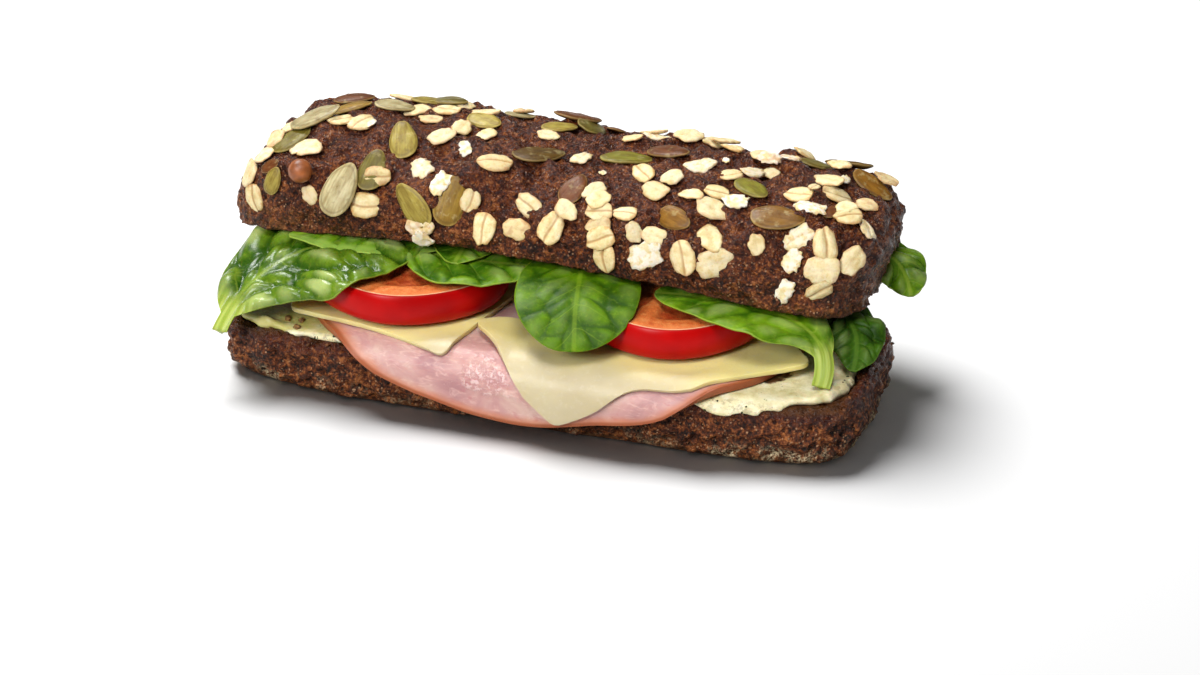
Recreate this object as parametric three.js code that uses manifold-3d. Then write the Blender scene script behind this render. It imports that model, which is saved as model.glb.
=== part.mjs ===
// A filled sandwich roll: a long dark roll topped with oats and pumpkin seeds, cut right
// through and filled with spread, ham, cheese, tomato and spinach.
// Millimetres, +Z up, +X along the roll, -Y its front. Origin: middle of the flat base.
import * as THREE from 'three';
import { MeshSurfaceSampler } from 'three/addons/math/MeshSurfaceSampler.js';
import { mergeVertices } from 'three/addons/utils/BufferGeometryUtils.js';
import Module from 'manifold-3d';

const wasm = await Module();
wasm.setup();

// ---- driving dimensions ----

const bottomHalf = {
  halfLength: 93,
  halfWidth: 33.5,
  height: 18, // base to cut
  shift: -0.9, // its middle lies this far along the roll
  leftDip: 1.5, // the cut is this much lower at the left end
  frontTaper: 0.065, // the front bulges out at the left and draws in at the right
  rimRadius: 4, // the filling bends round this much crust at the cut's edge
};

const topHalf = {
  halfLength: 94.5,
  halfWidth: 33,
  setBack: 22, // how far its front edge lies behind the bottom half's
  shift: -6.4, // along the roll
  lift: 20.5, // gap at its front edge, for the filling
  tilt: 4, // degrees, front up
  roll: 1.2, // degrees, left end up
  arch: 2.8, // the cut face bows up in the middle
  leftSag: 5, // and hangs lower at the ends
  rightSag: 3,
  bellyHeight: 8, // widest this far above its cut
  cutInset: 2.5,
  crown: 26, // height in the middle of its length
  crownLeft: -2,
  crownRight: 2,
  leftEnd: 35, // length of each rounded end
  rightEnd: 22,
  roundness: 2.4, // exponent of the cross-section
};

const layers = {
  gap: 0.3,
  spread: 1.5,
  spreadHeap: 1, // extra where no ham presses on it
  ham: 2,
  cheese: 2,
  tomato: 9.4,
  leaf: 0.7,
};

const hamSlice = { middle: [-2, -0.5], halfLength: 73, halfWidth: 49 };

// Corners of the cheese slices laid flat, before they bend over the bread's edge.
const cheeseSlices = {
  cheese_left: [[-71, -26], [-20, -35], [-9.6, 20], [-58, 35]],
  cheese_right: [[-17, -22], [12.6, -48.5], [50, -32.5], [77, -11], [47, 24]],
};
const cheeseOverlap = { from: -2, to: -12 }; // the right slice climbs on to the left one here

const tomatoSlices = {
  tomato_left: { middle: [-42.5, -2.5], radius: 27.5, turn: 10 },
  tomato_right: { middle: [34, 2], radius: 28, turn: 75 },
};

// Each leaf: its midrib's start, bend and tip, half its width, how far its sides cup at the
// start and droop at the tip, the height and number of its waves, and its stem's share.
const leaves = {
  spinach_1: {
    rib: [[-52, 4, 35.8], [-84, -16, 39.5], [-85.5, -42, 18.5]],
    width: 25, cup: -0.3, droop: -8, wave: [0.4, 3], stem: 0.14,
  },
  spinach_2: {
    rib: [[-40, 0, 37.8], [-56, 0, 39.4], [-77, -11, 37]],
    width: 11.5, cup: -0.8, droop: 0, wave: [0.3, 4], stem: 0,
  },
  spinach_3: {
    rib: [[-41, -6, 35.8], [-24, -10, 37], [1, -5, 36.8]],
    width: 14.5, cup: -0.6, droop: 0, wave: [0.3, 3], stem: 0,
  },
  spinach_4: {
    rib: [[-28, 10, 38.6], [-27, 0, 38.6], [-26, -13, 37.6]],
    width: 10, cup: 0.4, droop: 0, wave: [0.2, 2], stem: 0,
  },
  spinach_5: {
    rib: [[8, -3, 38.6], [15, -29, 41], [17, -34.5, 28.4]],
    width: 17.5, cup: -0.6, droop: 0, wave: [0.4, 2], stem: 0,
  },
  spinach_6: {
    rib: [[31, -8, 35.7], [84, 0, 38.2], [82, -20, 22]],
    width: 13, cup: -0.2, droop: -7, wave: [0.3, 4], stem: 0.22,
  },
  spinach_7: {
    rib: [[73, 11, 30], [88, 6, 31], [88, -9.5, 22.5]],
    width: 9, cup: -1.2, droop: 0, wave: [0.6, 3], stem: 0,
  },
  spinach_8: {
    rib: [[68, 32, 28], [88, 38, 31], [93, 26, 25.5]],
    width: 10.5, cup: -1, droop: 0, wave: [0.6, 3], stem: 0,
  },
  spinach_9: {
    rib: [[-58, 24, 35.2], [-66, 46, 34.4], [-74, 56, 27]],
    width: 14, cup: -1, droop: 0, wave: [0.6, 3], stem: 0,
  },
  spinach_10: {
    rib: [[-4, 26, 36], [-2, 50, 34], [2, 60, 27]],
    width: 15, cup: -1, droop: 0, wave: [0.5, 3], stem: 0,
  },
  spinach_11: {
    rib: [[44, 24, 35.2], [50, 46, 32.5], [58, 57, 26]],
    width: 12, cup: -1, droop: 0, wave: [0.5, 3], stem: 0,
  },
};

const seedSize = [15.5, 9.6, 3]; // pumpkin seed: length, width, thickness
const flakeSize = [9.2, 6.8, 2.4]; // rolled oat
const toppings = [
  { size: seedSize, count: 30, spacing: 14, sunk: 0 },
  { size: flakeSize, count: 54, spacing: 9.4, sunk: 0.1 },
];
const bareBand = 6.5; // no topping sits lower than this above the top half's cut
const drawSeed = 11;

const colours = {
  crust: 0x3a211b,
  spread: 0xd9d3a0,
  ham: 0xd99a96,
  cheese: 0xeedfa4,
  tomato: 0xb3231a,
  spinach: 0x3f7a20,
};

// ---- helpers ----

const squareness = 5.2; // exponent of the roll's outline seen from above
const around = 64; // points round each ring of the bread

// The roll's outline from above, as factors of half its length and half its width.
class LoafOutline extends THREE.Curve {
  getPoint(t, target = new THREE.Vector3()) {
    const angle = 2 * Math.PI * t;
    const c = Math.abs(Math.cos(angle) / bottomHalf.halfLength) ** squareness;
    const s = Math.abs(Math.sin(angle) / bottomHalf.halfWidth) ** squareness;
    const radius = (c + s) ** (-1 / squareness);
    return target.set(radius * Math.cos(angle), radius * Math.sin(angle), 0);
  }
}

const loafOutline = new LoafOutline();
loafOutline.arcLengthDivisions = 2000;
const unitRing = loafOutline.getSpacedPoints(around).slice(0, around)
  .map((p) => [p.x / bottomHalf.halfLength, p.y / bottomHalf.halfWidth]);

function random(seed) {
  let state = seed;
  return () => {
    state = (state * 1664525 + 1013904223) % 4294967296;
    return state / 4294967296;
  };
}

const mix = (a, b, t) => a + (b - a) * t;

function ease(from, to, value) {
  return THREE.MathUtils.smoothstep((value - from) / (to - from), 0, 1);
}

function body(points, faces) {
  const geometry = new THREE.BufferGeometry().setFromPoints(points);
  geometry.setIndex(faces.flat());
  geometry.computeVertexNormals();
  return geometry;
}

// A closed body through rings that run counterclockwise, lowest ring first. Its two ends
// close with a fan about a hub, or with a strip across the ring where no hub is given.
function loft(rings, hubs = []) {
  const n = rings[0].length;
  const points = rings.flat();
  const faces = [];
  for (let r = 0; r < rings.length - 1; r++) {
    for (let i = 0; i < n; i++) {
      const j = (i + 1) % n;
      const [a, b, c, d] = [r * n + i, r * n + j, (r + 1) * n + j, (r + 1) * n + i];
      faces.push([a, b, c], [a, c, d]);
    }
  }
  const close = (start, hub, up) => {
    const turn = ([a, b, c]) => (up ? [a, b, c] : [a, c, b]);
    if (hub) {
      points.push(hub);
      for (let i = 0; i < n; i++) {
        faces.push(turn([points.length - 1, start + i, start + (i + 1) % n]));
      }
      return;
    }
    for (let i = 0; i < n / 2; i++) {
      const [a, b] = [start + i, start + i + 1];
      const [c, d] = [start + (n - i - 1) % n, start + (n - i) % n];
      if (i < n / 2 - 1) faces.push(turn([a, b, c]));
      if (i > 0) faces.push(turn([a, c, d]));
    }
  };
  close(0, hubs[0], false);
  close((rings.length - 1) * n, hubs[1], true);
  return body(points, faces);
}

// A thin closed body between two grids of points, both split into triangles alike.
function thinBody(lower, upper) {
  const rows = lower.length;
  const columns = lower[0].length;
  const points = [...lower.flat(), ...upper.flat()];
  const low = (i, j) => i * columns + j;
  const high = (i, j) => rows * columns + low(i, j);
  const faces = [];
  for (let i = 0; i < rows - 1; i++) {
    for (let j = 0; j < columns - 1; j++) {
      faces.push([high(i, j), high(i, j + 1), high(i + 1, j + 1)]);
      faces.push([high(i, j), high(i + 1, j + 1), high(i + 1, j)]);
      faces.push([low(i, j), low(i + 1, j + 1), low(i, j + 1)]);
      faces.push([low(i, j), low(i + 1, j), low(i + 1, j + 1)]);
    }
  }
  const wall = (from, to) => {
    faces.push([low(...from), low(...to), high(...to)]);
    faces.push([low(...from), high(...to), high(...from)]);
  };
  for (let j = 0; j < columns - 1; j++) {
    wall([0, j], [0, j + 1]);
    wall([rows - 1, j + 1], [rows - 1, j]);
  }
  for (let i = 0; i < rows - 1; i++) {
    wall([i, columns - 1], [i + 1, columns - 1]);
    wall([i + 1, 0], [i, 0]);
  }
  return body(points, faces);
}

// Low lumps in the crust.
function lump(x, y, z) {
  return 0.35 * Math.sin(x / 9 + z / 5) + 0.3 * Math.sin(x / 5.3 - y / 7 + 1.3)
    + 0.25 * Math.sin(y / 4.1 + z / 6);
}

// ---- bottom half and what is laid on it ----

const frontScale = (x, y) => (y < 0 ? 1 - bottomHalf.frontTaper * x / bottomHalf.halfLength : 1);
const cutHeight = (x) => bottomHalf.height - bottomHalf.leftDip * ease(-40, -90, x);

function bottomRing(inset, height) {
  return unitRing.map(([u, v]) => {
    const x = u * (bottomHalf.halfLength - inset) + bottomHalf.shift;
    const y = v * (bottomHalf.halfWidth - inset) * frontScale(x, v);
    const out = 1 + lump(x, y, height(x)) / Math.hypot(x, y);
    return new THREE.Vector3(x * out, y * out, height(x));
  });
}

function breadBottom() {
  const level = (share) => (x) => share * cutHeight(x);
  const rings = [
    bottomRing(3, () => 0),
    bottomRing(1.6, level(0.08)),
    bottomRing(0.4, level(0.3)),
    bottomRing(0, level(0.55)),
    bottomRing(0.2, level(0.85)),
    bottomRing(0.8, level(1)),
  ];
  const cutMiddle = new THREE.Vector3(0, 0, cutHeight(0));
  const baseHub = new THREE.Vector3(6, 4, 0); // keeps the origin inside a triangle
  return loft(rings, [baseHub, cutMiddle]);
}

// How far a flat place lies outside the ham: under 1 is inside.
function hamReach(x, q) {
  const [middleX, middleQ] = hamSlice.middle;
  return Math.hypot((x - middleX) / hamSlice.halfLength, (q - middleQ) / hamSlice.halfWidth);
}

function spreadLayer() {
  const under = layers.gap;
  const ring = (inset, share) => unitRing.map(([u, v], i) => {
    const edge = inset + 2.2 + Math.sin(i * 1.7) + 0.5 * Math.sin(i * 0.9);
    const x = u * (bottomHalf.halfLength - edge) + bottomHalf.shift;
    const y = v * (bottomHalf.halfWidth - edge) * frontScale(x, v);
    const heap = layers.spreadHeap * ease(1.14, 1.24, hamReach(x, y));
    return new THREE.Vector3(x, y, cutHeight(x) + under + share * (layers.spread + heap));
  });
  const rings = [ring(0.6, 0), ring(0, 0.5), ring(1.2, 1), ring(12, 1)];
  return loft(rings);
}

// Lays the flat point (x, q) over the bread, a given height off it: level across the cut,
// round the rim, then straight down.
const bendRadius = 6.5; // the middle of the layers' bend
function drape(x, q, height) {
  const edge = bottomHalf.halfWidth * frontScale(x, q) + 0.4;
  const flat = edge - bottomHalf.rimRadius;
  const over = Math.abs(q) - flat;
  const z = cutHeight(x);
  if (over <= 0) return new THREE.Vector3(x, q, z + height);
  const angle = Math.min(over / bendRadius, Math.PI / 2);
  const radius = bottomHalf.rimRadius + height;
  const drop = Math.max(over - bendRadius * Math.PI / 2, 0);
  const y = flat + radius * Math.sin(angle);
  return new THREE.Vector3(
    x,
    Math.sign(q) * y,
    z - bottomHalf.rimRadius + radius * Math.cos(angle) - drop,
  );
}

// Lines along the roll at which a laid slice is divided: close together where it bends.
function foldLines(low, high, corners = []) {
  const half = [5, 14, 22];
  for (let q = 29; q < 54; q += 3.3) half.push(q);
  const inside = [...half, ...half.map((q) => -q)]
    .filter((q) => q > low + 0.8 && q < high - 0.8 && corners.every((c) => Math.abs(q - c) > 0.8));
  return [low, ...inside, ...corners.filter((c) => c > low && c < high), high]
    .sort((a, b) => a - b);
}

// A slice laid over the bread. chord(q) gives its two ends in x at each line.
function laidSlice(lines, chord, columns, height, thickness) {
  const grid = (extra) => lines.map((q) => {
    const [left, right] = chord(q);
    return Array.from({ length: columns + 1 }, (_, j) => {
      const x = mix(left, right, j / columns);
      return drape(x, q, height(x, q) + extra);
    });
  });
  return thinBody(grid(0), grid(thickness));
}

const hamHeight = layers.gap * 2 + layers.spread;
const cheeseHeight = hamHeight + layers.ham + layers.gap;

function ham() {
  const [middleX, middleQ] = hamSlice.middle;
  const reach = hamSlice.halfWidth * 0.998;
  const chord = (q) => {
    const half = hamSlice.halfLength * Math.sqrt(1 - ((q - middleQ) / hamSlice.halfWidth) ** 2);
    return [middleX - half, middleX + half];
  };
  const lines = foldLines(middleQ - reach, middleQ + reach);
  return laidSlice(lines, chord, 12, () => hamHeight, layers.ham);
}

// Where the line q crosses a slice with straight sides.
function polygonChord(corners, q) {
  const crossings = [];
  corners.forEach(([x1, q1], i) => {
    const [x2, q2] = corners[(i + 1) % corners.length];
    if (q1 !== q2 && (q - q1) * (q - q2) <= 0) {
      crossings.push(mix(x1, x2, (q - q1) / (q2 - q1)));
    }
  });
  return [Math.min(...crossings), Math.max(...crossings)];
}

function cheese(name) {
  const corners = cheeseSlices[name];
  const corner = corners.map(([, q]) => q);
  const [low, high] = [Math.min(...corner) + 0.8, Math.max(...corner) - 0.8];
  const climb = layers.cheese + layers.gap;
  const height = (x) => cheeseHeight
    + (name === 'cheese_right' ? climb * ease(cheeseOverlap.from, cheeseOverlap.to, x) : 0);
  const lines = foldLines(low, high, corner);
  return laidSlice(lines, (q) => polygonChord(corners, q), 7, height, layers.cheese);
}

function tomato({ middle, radius, turn }) {
  const low = bottomHalf.height + cheeseHeight + layers.cheese + layers.gap;
  const high = low + layers.tomato;
  const profile = [[0, 0], [0.93, 0], [0.985, 0.12], [1, 0.4], [0.985, 0.75], [0.95, 1], [0, 1]]
    .map(([r, t]) => new THREE.Vector2(r * radius, mix(low, high, t)));
  const geometry = new THREE.LatheGeometry(profile, 28);
  geometry.rotateX(Math.PI / 2);
  const position = geometry.attributes.position;
  for (let i = 0; i < position.count; i++) {
    const [x, y] = [position.getX(i), position.getY(i)];
    const angle = Math.atan2(y, x) + THREE.MathUtils.degToRad(turn);
    const wobble = 1 + 0.02 * Math.cos(2 * angle) + 0.012 * Math.cos(5 * angle);
    position.setXY(i, x * wobble + middle[0], y * wobble + middle[1]);
  }
  geometry.computeVertexNormals();
  return geometry;
}

function leaf({ rib, width, cup, droop, wave, stem }) {
  const midrib = new THREE.QuadraticBezierCurve3(...rib.map((p) => new THREE.Vector3(...p)));
  const [rows, columns] = [10, 4];
  const stalk = 1.3; // half the width of the stem and of the blunt ends
  const grid = (side) => Array.from({ length: rows + 1 }, (_, i) => {
    const t = i / rows;
    const point = midrib.getPoint(t);
    const along = midrib.getTangent(t);
    const across = new THREE.Vector3(0, 0, 1).cross(along).normalize();
    const normal = along.clone().cross(across);
    const blade = Math.min(t / (1 - stem), 1);
    const half = Math.max(width * Math.sin(Math.PI * blade ** 0.85) ** 0.6, stalk);
    return Array.from({ length: columns + 1 }, (__, j) => {
      const v = 2 * j / columns - 1;
      const spread = half / width;
      const ripple = wave[0] * Math.sin(2 * Math.PI * wave[1] * t + 1.5 * v) * v * v * spread;
      const bend = (cup + droop * ease(0.35, 0.9, t)) * v * v * spread * spread;
      const height = bend + ripple + side * layers.leaf / 2;
      return point.clone().addScaledVector(across, v * half).addScaledVector(normal, height);
    });
  });
  return thinBody(grid(1), grid(-1));
}

// ---- top half with its toppings ----

function topRing(rise, inset) {
  const { halfLength, halfWidth, bellyHeight, crown, roundness } = topHalf;
  const dome = Math.max((rise * crown - bellyHeight) / (crown - bellyHeight), 0);
  const shrink = 1 - (1 - dome ** roundness) ** (1 / roundness);
  const left = halfLength - topHalf.leftEnd * (1 - Math.sqrt(1 - rise * rise)) - inset;
  const right = halfLength + 0.5 - topHalf.rightEnd * shrink - inset;
  const width = halfWidth * (1 - shrink) - inset;
  return unitRing.map(([u, v]) => {
    const x = u * (u < 0 ? left : right);
    const y = v * width;
    const along = x / halfLength;
    const swell = (along < 0 ? topHalf.crownLeft : topHalf.crownRight) * along * along;
    const sag = (along < 0 ? topHalf.leftSag : topHalf.rightSag) * along * along;
    const fade = 1 - Math.min(rise * crown / bellyHeight, 1);
    const bow = fade * (topHalf.arch * (1 - along * along) - sag);
    const z = rise * (crown + swell) + bow;
    const bump = rise > 0 ? 1.3 * lump(x, y * 1.4, z * 1.2) : 0;
    const out = 1 + bump * Math.min(width / halfWidth, 1) / Math.hypot(x, y, 1);
    return new THREE.Vector3(x * out, y * out + halfWidth, z + bump * dome * 0.5);
  });
}

function topLoaf() {
  const { cutInset, bellyHeight, crown } = topHalf;
  const belly = bellyHeight / crown;
  const rings = [topRing(0, 16), topRing(0, cutInset), topRing(0.3 * belly, 0.8), topRing(belly, 0)];
  for (const angle of [18, 34, 48, 60, 70, 78, 85]) {
    rings.push(topRing(mix(belly, 1, Math.sin(THREE.MathUtils.degToRad(angle))), 0));
  }
  return loft(rings);
}

function solid(geometry) {
  const bare = new THREE.BufferGeometry();
  bare.setAttribute('position', geometry.attributes.position);
  bare.setIndex(geometry.index);
  const merged = mergeVertices(bare, 1e-4);
  return new wasm.Manifold(new wasm.Mesh({
    numProp: 3,
    vertProperties: merged.attributes.position.array,
    triVerts: new Uint32Array(merged.index.array),
  }));
}

function geometryOf(manifold) {
  const { vertProperties, triVerts } = manifold.getMesh();
  const geometry = new THREE.BufferGeometry();
  geometry.setAttribute('position', new THREE.BufferAttribute(vertProperties, 3));
  geometry.setIndex(new THREE.BufferAttribute(triVerts, 1));
  geometry.computeVertexNormals();
  return geometry;
}

// One seed or flake: a low flat ellipsoid lying on the crust at a given place.
function grain(size, place, normal, turn, sunk) {
  const geometry = new THREE.SphereGeometry(0.5, 7, 4);
  geometry.scale(size[0], size[2], size[1]);
  geometry.rotateY(turn);
  geometry.applyQuaternion(new THREE.Quaternion().setFromUnitVectors(
    new THREE.Vector3(0, 1, 0),
    normal,
  ));
  const seat = place.clone().addScaledVector(normal, -sunk * size[2]);
  geometry.translate(seat.x, seat.y, seat.z);
  return geometry;
}

function breadTop() {
  const loaf = topLoaf();
  const draw = random(drawSeed);
  const sampler = new MeshSurfaceSampler(new THREE.Mesh(loaf)).setRandomGenerator(draw).build();
  const [place, normal] = [new THREE.Vector3(), new THREE.Vector3()];
  const placed = [];
  let result = solid(loaf);
  for (const { size, count, spacing, sunk } of toppings) {
    let [left, tries] = [count, 6000];
    while (left > 0 && tries > 0) {
      tries -= 1;
      sampler.sample(place, normal);
      const room = (other) => (spacing + other.spacing) / 2;
      const free = placed.every((other) => other.place.distanceTo(place) > room(other));
      if (place.z < bareBand || normal.z < -0.1 || !free) continue;
      placed.push({ place: place.clone(), spacing });
      const scale = mix(0.85, 1.1, draw());
      const turned = grain(size.map((s) => s * scale), place, normal, draw() * Math.PI, sunk);
      result = result.add(solid(turned));
      left -= 1;
    }
  }
  return geometryOf(result);
}

// ---- the roll ----

const roll = new THREE.Group();

function addPiece(parent, name, geometry, colour, roughness) {
  const material = new THREE.MeshStandardMaterial({ color: colour, roughness, metalness: 0 });
  const mesh = new THREE.Mesh(geometry, material);
  mesh.name = name;
  parent.add(mesh);
}

addPiece(roll, 'bread_bottom', breadBottom(), colours.crust, 0.6);
addPiece(roll, 'spread', spreadLayer(), colours.spread, 0.35);
addPiece(roll, 'ham', ham(), colours.ham, 0.45);
for (const name of Object.keys(cheeseSlices)) {
  addPiece(roll, name, cheese(name), colours.cheese, 0.4);
}
for (const [name, slice] of Object.entries(tomatoSlices)) {
  addPiece(roll, name, tomato(slice), colours.tomato, 0.25);
}
for (const [name, shape] of Object.entries(leaves)) {
  addPiece(roll, name, leaf(shape), colours.spinach, 0.45);
}

// The top half is modelled about its front lower edge, then set back, lifted and tilted.
const lid = new THREE.Group();
lid.position.set(
  topHalf.shift,
  topHalf.setBack - bottomHalf.halfWidth,
  bottomHalf.height + topHalf.lift,
);
lid.rotation.set(
  -THREE.MathUtils.degToRad(topHalf.tilt),
  THREE.MathUtils.degToRad(topHalf.roll),
  0,
);
addPiece(lid, 'bread_top', breadTop(), colours.crust, 0.6);
roll.add(lid);

export default roll;
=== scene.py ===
import math

import bpy
import numpy as np
from mathutils import Matrix, Vector, noise
from mathutils.bvhtree import BVHTree


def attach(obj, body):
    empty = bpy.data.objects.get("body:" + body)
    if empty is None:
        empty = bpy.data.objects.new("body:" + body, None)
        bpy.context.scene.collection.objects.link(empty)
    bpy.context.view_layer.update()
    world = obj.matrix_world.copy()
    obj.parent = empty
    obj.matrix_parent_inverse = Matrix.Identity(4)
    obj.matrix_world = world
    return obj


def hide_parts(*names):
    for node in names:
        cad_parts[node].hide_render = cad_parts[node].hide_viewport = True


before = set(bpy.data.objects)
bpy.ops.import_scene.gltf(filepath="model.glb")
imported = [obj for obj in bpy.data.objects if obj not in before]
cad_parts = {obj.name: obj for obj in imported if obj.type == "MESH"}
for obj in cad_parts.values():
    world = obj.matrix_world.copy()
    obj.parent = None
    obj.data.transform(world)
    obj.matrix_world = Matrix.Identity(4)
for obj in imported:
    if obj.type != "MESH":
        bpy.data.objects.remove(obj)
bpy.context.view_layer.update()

mm = 0.001
frameSize = (1200, 675)
camera = {
    "azimuth": 19.5,  # degrees to the right of straight ahead
    "elevation": 28,
    "distance": 950,
    "target": (10.84, 3.84, 12.5),
    "lens": 101.2,
    "sensor": 36,
}


def cameraMatrix():
    turn, rise = math.radians(camera["azimuth"]), math.radians(camera["elevation"])
    away = Vector((math.sin(turn) * math.cos(rise), -math.cos(turn) * math.cos(rise), math.sin(rise)))
    place = (Vector(camera["target"]) + away * camera["distance"]) * mm
    return Matrix.Translation(place) @ away.to_track_quat("Z", "Y").to_matrix().to_4x4()


# start and direction of the line of sight through a place in the frame, in metres
def frameRay(across, down):
    wide = camera["sensor"] / camera["lens"]
    x = (across / frameSize[0] - 0.5) * wide
    y = (0.5 * frameSize[1] - down) / frameSize[0] * wide
    view = cameraMatrix()
    return view.translation, (view.to_3x3() @ Vector((x, y, -1))).normalized()


# 0 at low, 1 at high and smooth between, where low may also be the greater
def ease(low, high, value):
    t = np.clip((value - low) / (high - low), 0, 1)
    return t * t * (3 - 2 * t)


def deselect():
    if bpy.context.object and bpy.context.object.mode != "OBJECT":
        bpy.ops.object.mode_set(mode="OBJECT")
    bpy.ops.object.select_all(action="DESELECT")


def makeActive(piece):
    deselect()
    piece.select_set(True)
    bpy.context.view_layer.objects.active = piece


def named(name):
    piece = bpy.context.object
    piece.name = piece.data.name = name
    return piece


# the piece's vertices in millimetres
def points(piece):
    flat = np.empty(len(piece.data.vertices) * 3)
    piece.data.vertices.foreach_get("co", flat)
    return flat.reshape(-1, 3) / mm


def setPoints(piece, xyz):
    piece.data.vertices.foreach_set("co", np.ascontiguousarray(xyz * mm).ravel())
    piece.data.update()


def normalsOf(piece):
    flat = np.empty(len(piece.data.vertices) * 3)
    piece.data.vertices.foreach_get("normal", flat)
    return flat.reshape(-1, 3)


# a grid from -width/2 to width/2, -depth/2 to depth/2, in units of a metre
def addGrid(name, columns, rows, width=2, depth=2):
    deselect()
    bpy.ops.mesh.primitive_grid_add(x_subdivisions=columns, y_subdivisions=rows, size=1)
    piece = named(name)
    piece.scale = (width, depth, 1)
    bpy.ops.object.transform_apply()
    return piece


# a circle extruded ring by ring: each vertex stands at its angle, at its ring's number in z
def addTube(name, around, rings):
    deselect()
    bpy.ops.mesh.primitive_circle_add(vertices=around, radius=1, fill_type="NGON")
    piece = named(name)
    bpy.ops.object.mode_set(mode="EDIT")
    for _ in range(rings - 1):
        bpy.ops.mesh.extrude_region_move(TRANSFORM_OT_translate={"value": (0, 0, 1)})
    bpy.ops.object.mode_set(mode="OBJECT")
    return piece


# the number of each vertex round its ring, and its ring's number
def tubePlaces(piece, around):
    x, y, z = (points(piece) * mm).T
    place = np.rint(np.arctan2(y, x) / (2 * math.pi) * around).astype(int) % around
    return place, np.rint(z).astype(int)


def outward(piece):
    makeActive(piece)
    bpy.ops.object.mode_set(mode="EDIT")
    bpy.ops.mesh.select_all(action="SELECT")
    bpy.ops.mesh.normals_make_consistent(inside=False)
    bpy.ops.object.mode_set(mode="OBJECT")


def modify(piece, kind, **settings):
    makeActive(piece)
    bpy.ops.object.modifier_add(type=kind)
    modifier = piece.modifiers[-1]
    for key, value in settings.items():
        setattr(modifier, key, value)
    bpy.ops.object.modifier_apply(modifier=modifier.name)


# an even, softened skin of quads of the given size in millimetres
def evenSkin(piece, size, rounds):
    outward(piece)
    piece.data.remesh_voxel_size = size * mm
    bpy.ops.object.voxel_remesh()
    modify(piece, "SMOOTH", factor=0.5, iterations=rounds)


def smoothNoise(x, y, size, seed):
    return np.array([noise.noise(Vector((a / size, b / size, seed))) for a, b in zip(x, y)])


# how high each kind of relief stands at a place, for a height of 1
reliefKinds = {
    "soft": noise.noise,
    "pits": lambda place: -max(noise.noise(place) - 0.15, 0),
    "blobs": lambda place: 0.55 - noise.voronoi(place)[0][0],
}


# raises the surface by several reliefs, each (size and height in millimetres, seed, kind)
def roughen(piece, reliefs, mask):
    xyz, normals = points(piece), normalsOf(piece)
    height = np.zeros(len(xyz))
    for size, rise, seed, kind in reliefs:
        shift = Vector((seed * 13.1, seed * 7.7, seed * 3.3))
        height += rise * np.array([reliefKinds[kind](Vector(p) / size + shift) for p in xyz])
    setPoints(piece, xyz + normals * (height * mask)[:, None])


def attribute(piece, name, values):
    layer = piece.data.attributes.get(name) or piece.data.attributes.new(name, "FLOAT", "POINT")
    layer.data.foreach_set("value", np.asarray(values, dtype=np.float32))


def valuesOf(piece, name):
    values = np.empty(len(piece.data.vertices), dtype=np.float32)
    piece.data.attributes[name].data.foreach_get("value", values)
    return values


def vectorAttribute(piece, name, values):
    layer = piece.data.attributes.new(name, "FLOAT_VECTOR", "POINT")
    layer.data.foreach_set("vector", np.asarray(values, dtype=np.float32).ravel())


def tint(piece, rgb):
    layer = piece.data.color_attributes.new("tint", "FLOAT_COLOR", "POINT")
    layer.data.foreach_set("color", np.tile([*rgb, 1], len(piece.data.vertices)).astype(np.float32))


def finishPiece(piece, material, slot, *nodes):
    makeActive(piece)
    bpy.ops.object.shade_smooth()
    piece.data.materials.clear()
    piece.data.materials.append(material)
    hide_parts(*nodes)
    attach(piece, "root")
    print("made", piece.name, len(piece.data.polygons), "faces")


# a colour from its hex code, as the shader wants it
def colour(code):
    parts = [int(code[i:i + 2], 16) / 255 for i in (1, 3, 5)]
    return (*[p / 12.92 if p < 0.04045 else ((p + 0.055) / 1.055) ** 2.4 for p in parts], 1)


def rgbOf(code):
    return np.array(colour(code)[:3])


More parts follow.
